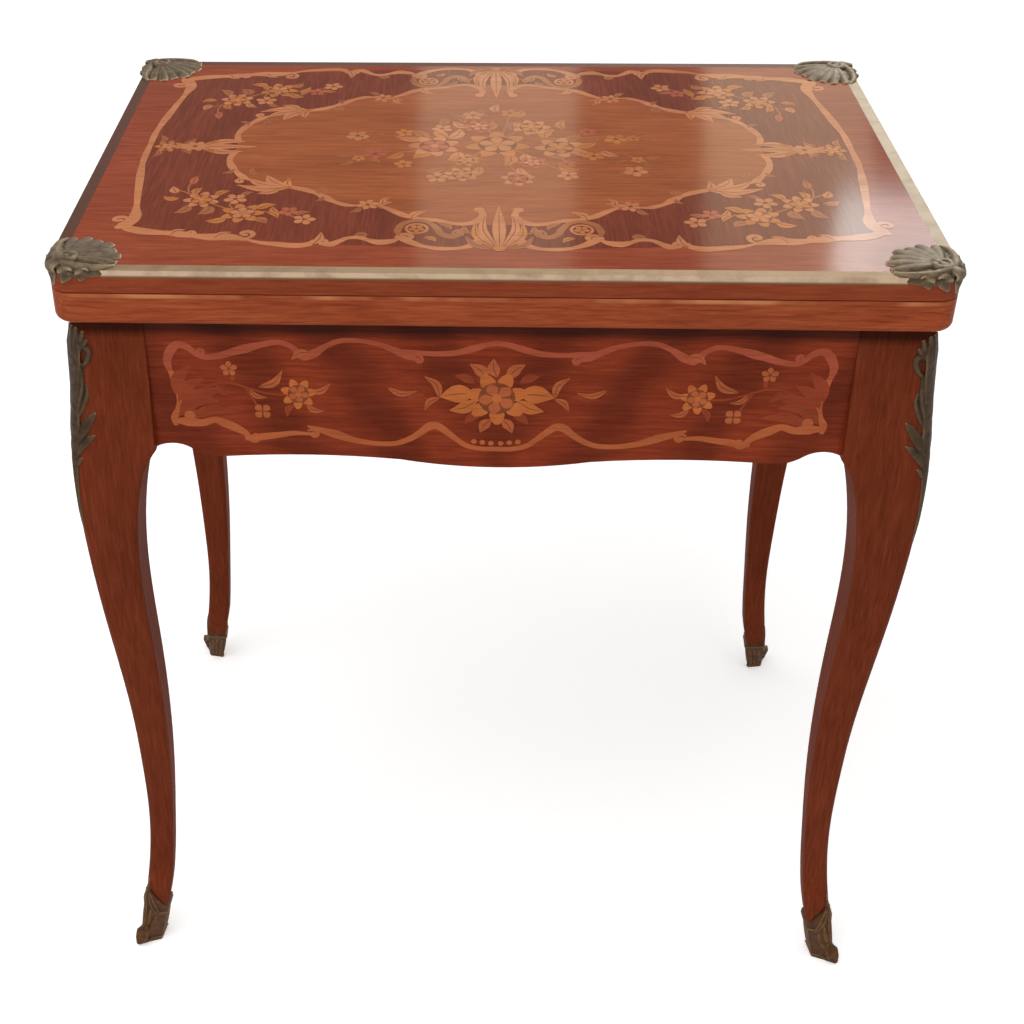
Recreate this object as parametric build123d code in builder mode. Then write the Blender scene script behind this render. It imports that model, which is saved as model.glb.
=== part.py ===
from build123d import *
import os
from math import cos, radians, sin, sqrt

os.makedirs("parts", exist_ok=True)

# A turn-and-fold card table in millimetres. The floor is Z = 0, the front faces -Y and the
# origin is under the middle of the closed top. The lower leaf turns on a stud in the frame,
# and the upper leaf folds over the back edge on two edge hinges.

# Top: two leaves that lie on each other when the table is closed
table_height = 780
top_width = 700
top_depth = 456
upper_leaf_thickness = 20
lower_leaf_thickness = 28
leaf_gap = 0.4
back_edge_setback = 0.2
front_corner_radius = 18
lower_arris_radius = 6
joint_arris_radius = 1.2

fold_height = table_height - upper_leaf_thickness - leaf_gap / 2
upper_leaf_bottom = fold_height + leaf_gap / 2
lower_leaf_top = fold_height - leaf_gap / 2
lower_leaf_bottom = lower_leaf_top - lower_leaf_thickness
back_edge = top_depth / 2 - back_edge_setback

# Playing field of baize, let into the meeting faces of both leaves
baize_border = 58
baize_back_border = 12
baize_thickness = 1.3
baize_recess = 1.5
baize_corner_radius = 30

# Brass banding round the upper arris of the upper leaf
banding_flange = 10
banding_face = 6.5
banding_thickness = 1.2
banding_stop = 44

# Cast corner mounts on the upper leaf: their lobed edge as (share along one side of the leaf,
# share along the other), each middle point being the crown of a lobe
corner_mount_reach = 58
corner_mount_lobe_shares = [
    [(1.0, 0.0), (1.02, 0.17), (0.86, 0.27)],
    [(0.86, 0.27), (0.82, 0.43), (0.66, 0.47)],
    [(0.66, 0.47), (0.66, 0.66), (0.47, 0.66)],
    [(0.47, 0.66), (0.43, 0.82), (0.27, 0.86)],
    [(0.27, 0.86), (0.17, 1.02), (0.0, 1.0)],
]
corner_mount_height = 7
corner_mount_taper = 28
corner_skirt_thickness = 1.4
corner_skirt_reach = 26
corner_skirt_clearance = 0.5

# Frame
frame_overhang = 10
turning_gap = 3
post_width = 60
apron_depth = 134
apron_thickness = 20
apron_inset = 0.8
frame_width = top_width - 2 * frame_overhang
frame_depth = top_depth - 2 * frame_overhang
frame_top = lower_leaf_bottom - turning_gap
apron_face_x = frame_width / 2 - apron_inset
apron_face_y = frame_depth / 2 - apron_inset
frame_inside_x = apron_face_x - apron_thickness
frame_inside_y = apron_face_y - apron_thickness

# Cabriole leg: the outer line as (share of the frame's height, share of the knee's swell beyond
# the post), the inner line as (share of the height, share of the post's width inside its face)
knee_swell = 11.5
leg_outer_shares = [
    (0.0, 1.0), (0.055, 0.66), (0.137, -0.1), (0.22, -0.53), (0.31, -0.55), (0.41, -0.36),
    (0.52, 0.13), (0.63, 0.66), (0.72, 0.95), (0.79, 1.0), (0.89, 0.5), (1.0, 0.0),
]
leg_inner_shares = [
    (0.838, 1.0), (0.81, 0.815), (0.77, 0.69), (0.71, 0.598), (0.63, 0.565), (0.52, 0.594),
    (0.41, 0.607), (0.30, 0.57), (0.22, 0.51), (0.137, 0.43), (0.07, 0.33), (0.0, 0.2),
]
outer_edge_radius = 9
inner_edge_radius = 5

# Foot mount (sabot) that holds the foot
sabot_wall = 1.8
sabot_sole = 3
sabot_tip_height = 72
sabot_heel_height = 34
sabot_slope_run = 27
toe_radius = 7
toe_reach = 17

# Knee mount on the outer corner of the post: its inner edge as (share of the frame's height,
# share of the mount's width inside the knee)
knee_mount_relief = 2.6
knee_mount_width = 44
knee_mount_shell_shares = [(0.995, 0.8), (0.962, 1.0), (0.925, 0.6)]
knee_mount_leaf_shares = [(0.925, 0.6), (0.893, 0.75), (0.85, 0.3)]
knee_mount_stem_shares = [(0.85, 0.3), (0.82, 0.17), (0.72, 0.1)]

# Aprons: half of the lower edge as (share of the half length, share of the apron's depth),
# from the post to the middle
apron_arch_shares = [(1.0, 0.877), (0.958, 0.852), (0.895, 0.89)]
apron_ogee_shares = [(0.895, 0.89), (0.86, 0.93), (0.8, 0.945)]
apron_run_shares = [(0.8, 0.945), (0.55, 0.925), (0.28, 0.95)]
apron_drop_shares = [(0.28, 0.95), (0.14, 0.988), (0.0, 1.0)]

# Card well in the left half of the frame
well_depth = 86
well_floor_thickness = 6
well_divider_thickness = 16
batten_width = 16
batten_height = 14

# Board in the right half that carries the pivot
pivot_board_thickness = 18
pivot_offset = top_depth / 4
stud_radius = 6
stud_clearance = 0.06
stud_length = 42
stud_head_radius = 11
stud_head_thickness = 3
bearing_clearance = 0.3
pivot_plate_width = 80
bearing_width_share = 0.85
bearing_radius = bearing_width_share * pivot_plate_width / 2
pivot_plate_thickness = 5
washer_radius = 18
washer_thickness = 2
washer_gap = 0.3
nut_width = 22
nut_thickness = 9
stop_pin_radius = 4
stop_pin_plate_gap = 3.4
stop_pin_circle = pivot_plate_width / sqrt(2) + stop_pin_plate_gap + stop_pin_radius
stop_pin_clearance = 0.4
stop_pin_below_board = 3
stop_pin_socket = 12
turn_angle = 90
stop_pin_angle = 225

# Slide felts on the top edges of the frame
felt_width = 14
felt_clearance = 0.3
felt_end_gap = 8

# Edge hinges, let into the ends of the leaves at the back corners
hinge_eye_radius = 6
hinge_pocket_clearance = 0.3
hinge_thickness = 6
hinge_plate_length = 62
hinge_plate_width = 10
hinge_plate_edge_gap = 2.6
hinge_eye_gap = 0.1
hinge_pin_radius = 1.6
hinge_pin_clearance = 0.05
hinge_eye_thickness = (hinge_thickness - hinge_eye_gap) / 2

# Wood screws with countersunk heads
screw_radius = 1.8
screw_head_radius = 3.6
screw_head_height = 2.2
hinge_screw_length = 20
hinge_screw_shares = [0.34, 0.88]
plate_screw_length = 16
plate_screw_inset = 12

cut_overrun = 2

corners = {"front_left": (-1, -1), "front_right": (1, -1), "back_left": (-1, 1), "back_right": (1, 1)}
ends = {"left": -1, "right": 1}
fronts = {"front": -1, "back": 1}


def to_corner(form, side_x, side_y):
    """A form made at the right back corner, mirrored to the corner asked for."""
    if side_x < 0:
        form = form.mirror(Plane.YZ)
    if side_y < 0:
        form = form.mirror(Plane.XZ)
    return form


def leg_outline(half_span, grow):
    """The leg seen square on, from the floor to the frame's top, made larger by grow all round."""
    outer = [(half_span + share * knee_swell + grow, height * frame_top) for height, share in leg_outer_shares]
    inner = [(half_span - share * post_width - grow, height * frame_top) for height, share in leg_inner_shares]
    with BuildSketch() as outline:
        with BuildLine():
            Spline(*outer)
            Polyline(outer[-1], (inner[0][0], frame_top), inner[0])
            Spline(*inner)
            Line(inner[-1], outer[0])
        make_face()
    return outline.sketch


def sawn_twice(outline):
    """A corner form with one outline sawn across both faces of its post, as a cabriole leg is cut."""
    with BuildPart() as form:
        with BuildSketch(Plane.XZ):
            add(outline(frame_width / 2))
        extrude(amount=top_depth, both=True)
        with BuildSketch(Plane.YZ):
            add(outline(frame_depth / 2))
        extrude(amount=top_width, both=True, mode=Mode.INTERSECT)
    return form.part


def outer_corner_edge(edges):
    """The edge that runs down the outer corner of a leg."""
    long_edges = edges.filter_by(lambda edge: edge.length > frame_top / 2)
    return long_edges.sort_by(lambda edge: edge.center().X + edge.center().Y)[-1]


def screw(length):
    """A countersunk screw along -Z, with its head flush at the origin."""
    with BuildPart() as form:
        with BuildSketch(Plane.XZ):
            with BuildLine():
                Polyline(
                    (0, 0), (screw_head_radius, 0), (screw_radius, -screw_head_height),
                    (screw_radius, -length), (0, -length), close=True,
                )
            make_face()
        revolve(axis=Axis.Z)
    return form.part


# Legs: the post and its cabriole below, in one piece of wood


def wooden_leg_outline(half_span):
    with BuildSketch() as outline:
        add(leg_outline(half_span, 0))
        with Locations((half_span, 0)):
            Rectangle(2 * post_width, 2 * sabot_sole, mode=Mode.SUBTRACT)
    return outline.sketch


post_foot = frame_top * leg_inner_shares[0][0]

with BuildPart() as leg_form:
    add(sawn_twice(wooden_leg_outline))
    fillet(outer_corner_edge(leg_form.edges()), outer_edge_radius)
    curved_edges = leg_form.edges().filter_by(
        lambda edge: edge.length > frame_top / 2 and edge.bounding_box().max.Z < (post_foot + frame_top) / 2
    )
    fillet(curved_edges, inner_edge_radius)

for corner, (side_x, side_y) in corners.items():
    with BuildPart() as leg:
        add(to_corner(leg_form.part, side_x, side_y))
    leg.part.label = f"leg_{corner}"
    export_step(leg.part, f"parts/leg_{corner}.step")


# Foot mounts: a brass shoe round the foot, with a pointed tip up the edge and a curled toe


def grown_by(size):
    """The leg's outline made larger by one size."""
    return lambda half_span: leg_outline(half_span, size)


def shoe_limit(half_span):
    with BuildSketch() as limit:
        with BuildLine():
            Polyline(
                (half_span - post_width, 0), (half_span + toe_reach, 0),
                (half_span + toe_reach, sabot_tip_height), (half_span, sabot_tip_height),
                (half_span - sabot_slope_run, sabot_heel_height), (half_span - post_width, sabot_heel_height),
                close=True,
            )
        make_face()
    return limit.sketch


def curled_toe(half_span):
    with BuildSketch() as toe:
        with Locations((half_span + toe_reach - toe_radius, toe_radius)):
            Circle(toe_radius)
    return toe.sketch


with BuildPart() as sabot_form:
    add(sawn_twice(grown_by(sabot_wall)))
    fillet(outer_corner_edge(sabot_form.edges()), outer_edge_radius + sabot_wall)
    add(sawn_twice(shoe_limit), mode=Mode.INTERSECT)
    add(sawn_twice(curled_toe))
    add(leg_form.part, mode=Mode.SUBTRACT)

for corner, (side_x, side_y) in corners.items():
    with BuildPart() as sabot:
        add(to_corner(sabot_form.part, side_x, side_y))
    sabot.part.label = f"sabot_{corner}"
    export_step(sabot.part, f"parts/sabot_{corner}.step")


# Knee mounts: a shell, a leaf and a thin stem that follow the outer edge of the leg


def knee_mount_limit(half_span):
    knee = half_span + knee_swell

    def edge_points(shares):
        return [(knee - across * knee_mount_width, height * frame_top) for height, across in shares]

    shell = edge_points(knee_mount_shell_shares)
    leaf = edge_points(knee_mount_leaf_shares)
    stem = edge_points(knee_mount_stem_shares)
    outside = knee + 2 * knee_mount_relief
    with BuildSketch() as limit:
        with BuildLine():
            ThreePointArc(*shell)
            ThreePointArc(*leaf)
            ThreePointArc(*stem)
            Polyline(stem[-1], (outside, stem[-1][1]), (outside, shell[0][1]), shell[0])
        make_face()
    return limit.sketch


with BuildPart() as knee_mount_form:
    add(sawn_twice(grown_by(knee_mount_relief)))
    fillet(outer_corner_edge(knee_mount_form.edges()), outer_edge_radius + knee_mount_relief)
    add(sawn_twice(knee_mount_limit), mode=Mode.INTERSECT)
    add(leg_form.part, mode=Mode.SUBTRACT)

for corner, (side_x, side_y) in corners.items():
    with BuildPart() as knee_mount:
        add(to_corner(knee_mount_form.part, side_x, side_y))
    knee_mount.part.label = f"knee_mount_{corner}"
    export_step(knee_mount.part, f"parts/knee_mount_{corner}.step")


# Aprons: the frieze boards between the posts, shaped along their lower edges


def apron_outline(half_length):
    def edge_points(shares):
        return [(along * half_length, frame_top - deep * apron_depth) for along, deep in shares]

    arch = edge_points(apron_arch_shares)
    with BuildSketch() as outline:
        with BuildLine():
            Polyline((0, frame_top), (half_length, frame_top), arch[0])
            ThreePointArc(*arch)
            ThreePointArc(*edge_points(apron_ogee_shares))
            ThreePointArc(*edge_points(apron_run_shares))
            ThreePointArc(*edge_points(apron_drop_shares))
            Line((0, frame_top - apron_depth), (0, frame_top))
        make_face()
        mirror(about=Plane.YZ)
    return outline.sketch


for side, side_y in fronts.items():
    with BuildPart() as apron:
        with BuildSketch(Plane.XZ.offset(-side_y * apron_face_y)):
            add(apron_outline(frame_width / 2 - post_width))
        extrude(amount=side_y * apron_thickness)
    apron.part.label = f"apron_{side}"
    export_step(apron.part, f"parts/apron_{side}.step")

for side, side_x in ends.items():
    with BuildPart() as apron:
        with BuildSketch(Plane.YZ.offset(side_x * apron_face_x)):
            add(apron_outline(frame_depth / 2 - post_width))
        extrude(amount=-side_x * apron_thickness)
    apron.part.label = f"apron_{side}"
    export_step(apron.part, f"parts/apron_{side}.step")


# Card well: a shallow box in the left half of the frame, open at the top when the leaves are turned


def inside_frame(low_x, high_x):
    """The plan of the space inside the aprons and posts, between two places along X."""
    with BuildSketch() as plan:
        Rectangle(2 * frame_inside_x, 2 * frame_inside_y)
        with GridLocations(frame_width - post_width, frame_depth - post_width, 2, 2):
            Rectangle(post_width, post_width, mode=Mode.SUBTRACT)
        with Locations(((low_x + high_x) / 2, 0)):
            Rectangle(high_x - low_x, 2 * frame_inside_y, mode=Mode.INTERSECT)
    return plan.sketch


well_floor_top = frame_top - well_depth
well_floor_bottom = well_floor_top - well_floor_thickness
batten_y = frame_inside_y - batten_width / 2
batten_length = frame_width / 2 - post_width

with BuildPart() as well_floor:
    with BuildSketch(Plane.XY.offset(well_floor_bottom)):
        add(inside_frame(-frame_inside_x, 0))
    extrude(amount=well_floor_thickness)
well_floor.part.label = "well_floor"
export_step(well_floor.part, "parts/well_floor.step")

with BuildPart() as well_divider:
    with BuildSketch(Plane.XY.offset(well_floor_top)):
        add(inside_frame(-well_divider_thickness, 0))
    extrude(amount=well_depth)
well_divider.part.label = "well_divider"
export_step(well_divider.part, "parts/well_divider.step")

with BuildPart() as floor_battens:
    with BuildSketch(Plane.XY.offset(well_floor_bottom)):
        with Locations((-batten_length / 2, -batten_y), (-batten_length / 2, batten_y)):
            Rectangle(batten_length, batten_width)
    extrude(amount=-batten_height)
floor_battens.part.label = "floor_battens"
export_step(floor_battens.part, "parts/floor_battens.step")


# Pivot board: fills the right half of the frame, with the stud's hole and the stop pin's slot

pivot = (pivot_offset, pivot_offset)
board_bottom = frame_top - pivot_board_thickness


def on_stop_circle(angle):
    """A place on the stop pin's circle round the pivot."""
    return (
        pivot_offset + stop_pin_circle * cos(radians(angle)),
        pivot_offset + stop_pin_circle * sin(radians(angle)),
    )


with BuildPart() as pivot_board:
    with BuildSketch(Plane.XY.offset(board_bottom)):
        add(inside_frame(0, frame_inside_x))
        with Locations(pivot):
            Circle(stud_radius + stud_clearance, mode=Mode.SUBTRACT)
        with BuildLine(mode=Mode.PRIVATE) as slot_line:
            CenterArc(pivot, stop_pin_circle, stop_pin_angle, turn_angle)
        SlotArc(slot_line.edge(), 2 * (stop_pin_radius + stop_pin_clearance), mode=Mode.SUBTRACT)
    extrude(amount=pivot_board_thickness)
pivot_board.part.label = "pivot_board"
export_step(pivot_board.part, "parts/pivot_board.step")

with BuildPart() as board_battens:
    with BuildSketch(Plane.XY.offset(board_bottom)):
        with Locations((batten_length / 2, -batten_y), (batten_length / 2, batten_y)):
            Rectangle(batten_length, batten_width)
    extrude(amount=-batten_height)
board_battens.part.label = "board_battens"
export_step(board_battens.part, "parts/board_battens.step")

with BuildPart() as bearing_ring:
    with BuildSketch(Plane.XY.offset(frame_top)):
        with Locations(pivot):
            Circle(bearing_radius)
            Circle(stud_radius + stud_clearance, mode=Mode.SUBTRACT)
    extrude(amount=turning_gap - bearing_clearance)
bearing_ring.part.label = "bearing_ring"
export_step(bearing_ring.part, "parts/bearing_ring.step")

# Slide felts: strips on the top edges of the aprons that the lower leaf glides over

felt_y = apron_face_y - apron_thickness / 2
felt_x = apron_face_x - apron_thickness / 2

with BuildPart() as slide_felts:
    with BuildSketch(Plane.XY.offset(frame_top)):
        with Locations((0, -felt_y), (0, felt_y)):
            Rectangle(frame_width - 2 * (post_width + felt_end_gap), felt_width)
        with Locations((-felt_x, 0), (felt_x, 0)):
            Rectangle(felt_width, frame_depth - 2 * (post_width + felt_end_gap))
    extrude(amount=turning_gap - felt_clearance)
slide_felts.part.label = "slide_felts"
export_step(slide_felts.part, "parts/slide_felts.step")


# Stud and stop pin of the turning top

plate_top = lower_leaf_bottom + pivot_plate_thickness
washer_top = board_bottom - washer_gap
nut_top = washer_top - washer_thickness
plate_screw_span = pivot_plate_width - 2 * plate_screw_inset

with BuildPart() as plate_screws:
    with Locations(Location((pivot_offset, pivot_offset, lower_leaf_bottom), (180, 0, 0))):
        with GridLocations(plate_screw_span, plate_screw_span, 2, 2):
            add(screw(plate_screw_length))
plate_screws.part.label = "plate_screws"
export_step(plate_screws.part, "parts/plate_screws.step")

with BuildPart() as pivot_plate:
    with BuildSketch(Plane.XY.offset(lower_leaf_bottom)):
        with Locations(pivot):
            Rectangle(pivot_plate_width, pivot_plate_width)
            Circle(stud_radius, mode=Mode.SUBTRACT)
    extrude(amount=pivot_plate_thickness)
    add(plate_screws.part, mode=Mode.SUBTRACT)
pivot_plate.part.label = "pivot_plate"
export_step(pivot_plate.part, "parts/pivot_plate.step")

with BuildPart() as pivot_stud:
    with BuildSketch(Plane.XY.offset(plate_top)):
        with Locations(pivot):
            Circle(stud_radius)
    extrude(amount=-stud_length)
    with BuildSketch(Plane.XY.offset(plate_top)):
        with Locations(pivot):
            Circle(stud_head_radius)
    extrude(amount=stud_head_thickness)
pivot_stud.part.label = "pivot_stud"
export_step(pivot_stud.part, "parts/pivot_stud.step")

with BuildPart() as pivot_washer:
    with BuildSketch(Plane.XY.offset(washer_top)):
        with Locations(pivot):
            Circle(washer_radius)
            Circle(stud_radius, mode=Mode.SUBTRACT)
    extrude(amount=-washer_thickness)
pivot_washer.part.label = "pivot_washer"
export_step(pivot_washer.part, "parts/pivot_washer.step")

with BuildPart() as pivot_nut:
    with BuildSketch(Plane.XY.offset(nut_top)):
        with Locations(pivot):
            RegularPolygon(nut_width / 2, 6, major_radius=False)
            Circle(stud_radius, mode=Mode.SUBTRACT)
    extrude(amount=-nut_thickness)
pivot_nut.part.label = "pivot_nut"
export_step(pivot_nut.part, "parts/pivot_nut.step")

with BuildPart() as stop_pin:
    with BuildSketch(Plane.XY.offset(board_bottom - stop_pin_below_board)):
        with Locations(on_stop_circle(stop_pin_angle)):
            Circle(stop_pin_radius)
    extrude(amount=lower_leaf_bottom + stop_pin_socket - board_bottom + stop_pin_below_board)
stop_pin.part.label = "stop_pin"
export_step(stop_pin.part, "parts/stop_pin.step")


# Edge hinges: each plate carries half the thickness of the eye, and a pin joins the two

end_x = top_width / 2
fold_line = (top_depth / 2, fold_height)
plate_y = back_edge - hinge_plate_length / 2
hinge_plate_offset = hinge_plate_edge_gap + hinge_plate_width / 2
plate_heights = {
    "lower": lower_leaf_top - hinge_plate_offset,
    "upper": upper_leaf_bottom + hinge_plate_offset,
}
eye_faces = {"lower": end_x, "upper": end_x - hinge_eye_thickness - hinge_eye_gap}
eye_bores = {"lower": hinge_pin_radius, "upper": hinge_pin_radius + hinge_pin_clearance}
other_leaf = {"lower": "upper", "upper": "lower"}


def disc_on_fold_line(radius, face, thickness):
    """A disc round the fold line at the right end, from its outer face inwards."""
    with BuildPart() as disc:
        with BuildSketch(Plane.YZ.offset(face)):
            with Locations(fold_line):
                Circle(radius)
        extrude(amount=-thickness)
    return disc.part


def hinge_plate_blank(leaf):
    """The plate of the right hinge before its eye is made."""
    with BuildPart() as blank:
        with BuildSketch(Plane.YZ.offset(end_x)):
            with Locations((plate_y, plate_heights[leaf])):
                Rectangle(hinge_plate_length, hinge_plate_width)
        extrude(amount=-hinge_thickness)
    return blank.part


def hinge_screws(leaf):
    """The screws of the right hinge, into the end of the leaf."""
    places = [
        Location((end_x, back_edge - share * hinge_plate_length, plate_heights[leaf]), (0, 90, 0))
        for share in hinge_screw_shares
    ]
    with BuildPart() as screws:
        with Locations(*places):
            add(screw(hinge_screw_length))
    return screws.part


pocket = disc_on_fold_line(
    hinge_eye_radius + hinge_pocket_clearance, end_x + cut_overrun,
    hinge_thickness + hinge_pocket_clearance + cut_overrun,
)

for leaf in plate_heights:
    other_eye = disc_on_fold_line(
        hinge_eye_radius + hinge_pocket_clearance, eye_faces[other_leaf[leaf]] + hinge_eye_gap / 2,
        hinge_eye_thickness + hinge_eye_gap,
    )
    with BuildPart() as hinge_form:
        add(hinge_plate_blank(leaf))
        add(other_eye, mode=Mode.SUBTRACT)
        add(disc_on_fold_line(hinge_eye_radius, eye_faces[leaf], hinge_eye_thickness))
        add(disc_on_fold_line(eye_bores[leaf], end_x, hinge_thickness), mode=Mode.SUBTRACT)
        add(hinge_screws(leaf), mode=Mode.SUBTRACT)
    for end, side_x in ends.items():
        with BuildPart() as hinge:
            add(to_corner(hinge_form.part, side_x, 1))
        hinge.part.label = f"hinge_{leaf}_{end}"
        export_step(hinge.part, f"parts/hinge_{leaf}_{end}.step")
    with BuildPart() as screws:
        add(hinge_screws(leaf))
        mirror(about=Plane.YZ)
    screws.part.label = f"hinge_screws_{leaf}"
    export_step(screws.part, f"parts/hinge_screws_{leaf}.step")

for end, side_x in ends.items():
    with BuildPart() as hinge_pin:
        add(to_corner(disc_on_fold_line(hinge_pin_radius, end_x, hinge_thickness), side_x, 1))
    hinge_pin.part.label = f"hinge_pin_{end}"
    export_step(hinge_pin.part, f"parts/hinge_pin_{end}.step")


# Leaves


def leaf_outline(grow):
    """The plan of a leaf: square at the back, where the leaves meet when open, round in front."""
    with BuildSketch() as outline:
        with Locations((0, (back_edge - top_depth / 2) / 2)):
            Rectangle(top_width + 2 * grow, top_depth / 2 + back_edge + 2 * grow)
        front_corners = outline.vertices().group_by(Axis.Y)[0]
        fillet(front_corners, front_corner_radius + grow)
    return outline.sketch


def baize_outline():
    low = baize_border - top_depth / 2
    high = back_edge - baize_back_border
    with BuildSketch() as outline:
        with Locations((0, (low + high) / 2)):
            RectangleRounded(top_width - 2 * baize_border, high - low, baize_corner_radius)
    return outline.sketch


def leaf_ends(leaf):
    """What the two hinges take out of the ends of a leaf."""
    with BuildPart() as cuts:
        add(hinge_plate_blank(leaf))
        add(pocket)
        add(hinge_screws(leaf))
        mirror(about=Plane.YZ)
    return cuts.part


with BuildPart() as lower_leaf:
    with BuildSketch(Plane.XY.offset(lower_leaf_bottom)):
        add(leaf_outline(0))
    extrude(amount=lower_leaf_thickness)
    long_edges = lower_leaf.edges().filter_by(Plane.XY)
    back_face = lower_leaf.faces().sort_by(Axis.Y)[-1]
    bottom_edges = long_edges.group_by(Axis.Z)[0] - back_face.edges()
    top_edges = long_edges.group_by(Axis.Z)[-1] - back_face.edges()
    fillet(bottom_edges, lower_arris_radius)
    fillet(top_edges, joint_arris_radius)
    with BuildSketch(Plane.XY.offset(lower_leaf_top)):
        add(baize_outline())
    extrude(amount=-baize_recess, mode=Mode.SUBTRACT)
    add(leaf_ends("lower"), mode=Mode.SUBTRACT)
    with BuildSketch(Plane.XY.offset(lower_leaf_bottom)):
        with Locations(pivot):
            Rectangle(pivot_plate_width, pivot_plate_width)
    extrude(amount=pivot_plate_thickness, mode=Mode.SUBTRACT)
    add(pivot_stud.part, mode=Mode.SUBTRACT)
    add(plate_screws.part, mode=Mode.SUBTRACT)
    add(stop_pin.part, mode=Mode.SUBTRACT)
lower_leaf.part.label = "lower_leaf"
export_step(lower_leaf.part, "parts/lower_leaf.step")

with BuildPart() as baize_lower:
    with BuildSketch(Plane.XY.offset(lower_leaf_top - baize_recess)):
        add(baize_outline())
    extrude(amount=baize_thickness)
baize_lower.part.label = "baize_lower"
export_step(baize_lower.part, "parts/baize_lower.step")

with BuildPart() as baize_upper:
    with BuildSketch(Plane.XY.offset(upper_leaf_bottom + baize_recess)):
        add(baize_outline())
    extrude(amount=-baize_thickness)
baize_upper.part.label = "baize_upper"
export_step(baize_upper.part, "parts/baize_upper.step")


# Banding: a brass angle let into the upper arris, stopped under the corner mounts


def banding_section(edge):
    """The angle's section, its outer corner on a leaf edge at this place, facing outwards."""
    with BuildSketch() as section:
        with Locations((edge, table_height)):
            Rectangle(banding_flange, banding_thickness, align=(Align.MAX, Align.MAX))
            Rectangle(banding_thickness, banding_face, align=(Align.MAX, Align.MAX))
    return section.sketch


side_banding_front = banding_stop - top_depth / 2
side_banding_back = back_edge - banding_stop

bandings = {}
for side, edge in {"front": top_depth / 2, "back": back_edge}.items():
    with BuildPart() as banding:
        with BuildSketch(Plane.YZ):
            add(banding_section(edge))
        extrude(amount=top_width / 2 - banding_stop, both=True)
    bandings[side] = to_corner(banding.part, 1, fronts[side])
for side, side_x in ends.items():
    with BuildPart() as banding:
        with BuildSketch(Plane.XZ.offset(-side_banding_back)):
            add(banding_section(end_x))
        extrude(amount=side_banding_back - side_banding_front)
    bandings[side] = to_corner(banding.part, side_x, 1)

for side, form in bandings.items():
    with BuildPart() as banding:
        add(form)
    banding.part.label = f"banding_{side}"
    export_step(banding.part, f"parts/banding_{side}.step")

with BuildPart() as upper_leaf:
    with BuildSketch(Plane.XY.offset(upper_leaf_bottom)):
        add(leaf_outline(0))
    extrude(amount=upper_leaf_thickness)
    long_edges = upper_leaf.edges().filter_by(Plane.XY)
    back_face = upper_leaf.faces().sort_by(Axis.Y)[-1]
    fillet(long_edges.group_by(Axis.Z)[0] - back_face.edges(), joint_arris_radius)
    with BuildSketch(Plane.XY.offset(upper_leaf_bottom)):
        add(baize_outline())
    extrude(amount=baize_recess, mode=Mode.SUBTRACT)
    add(leaf_ends("upper"), mode=Mode.SUBTRACT)
    for form in bandings.values():
        add(form, mode=Mode.SUBTRACT)
upper_leaf.part.label = "upper_leaf"
export_step(upper_leaf.part, "parts/upper_leaf.step")


# Corner mounts: a lobed shell on each corner of the upper leaf. In front it also laps the edge;
# at the back the edge stays clear, because the leaves meet there when open.


def corner_shell():
    """The plan of the mount at the right back corner of a leaf."""
    def edge_points(lobe):
        return [
            (end_x - along * corner_mount_reach, top_depth / 2 - across * corner_mount_reach)
            for along, across in lobe
        ]

    lobes = [edge_points(lobe) for lobe in corner_mount_lobe_shares]
    far_x = end_x + corner_mount_reach
    far_y = top_depth / 2 + corner_mount_reach
    with BuildSketch() as plan:
        with BuildLine():
            for lobe in lobes:
                ThreePointArc(*lobe)
            Polyline(lobes[-1][-1], (far_x, lobes[-1][-1][1]), (far_x, far_y), (lobes[0][0][0], far_y), lobes[0][0])
        make_face()
    return plan.sketch


with BuildPart() as front_mount_form:
    with BuildSketch(Plane.XY.offset(table_height)):
        add(corner_shell())
        add(leaf_outline(corner_skirt_thickness).mirror(Plane.XZ), mode=Mode.INTERSECT)
    extrude(amount=corner_mount_height, taper=corner_mount_taper)
    with BuildSketch(Plane.XY.offset(upper_leaf_bottom + corner_skirt_clearance)):
        add(leaf_outline(corner_skirt_thickness).mirror(Plane.XZ))
        add(leaf_outline(0).mirror(Plane.XZ), mode=Mode.SUBTRACT)
        with Locations((end_x, top_depth / 2)):
            Rectangle(2 * corner_skirt_reach, 2 * corner_skirt_reach, mode=Mode.INTERSECT)
    extrude(amount=upper_leaf_thickness - corner_skirt_clearance)

with BuildPart() as back_mount_form:
    with BuildSketch(Plane.XY.offset(table_height)):
        add(corner_shell())
        add(leaf_outline(0), mode=Mode.INTERSECT)
    extrude(amount=corner_mount_height, taper=corner_mount_taper)

for corner, (side_x, side_y) in corners.items():
    mount_form = front_mount_form if side_y < 0 else back_mount_form
    with BuildPart() as corner_mount:
        add(to_corner(mount_form.part, side_x, side_y))
    corner_mount.part.label = f"corner_mount_{corner}"
    export_step(corner_mount.part, f"parts/corner_mount_{corner}.step")
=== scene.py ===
import math

import bmesh
import bpy
from mathutils import Matrix, Quaternion, Vector
from mathutils.bvhtree import BVHTree


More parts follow.
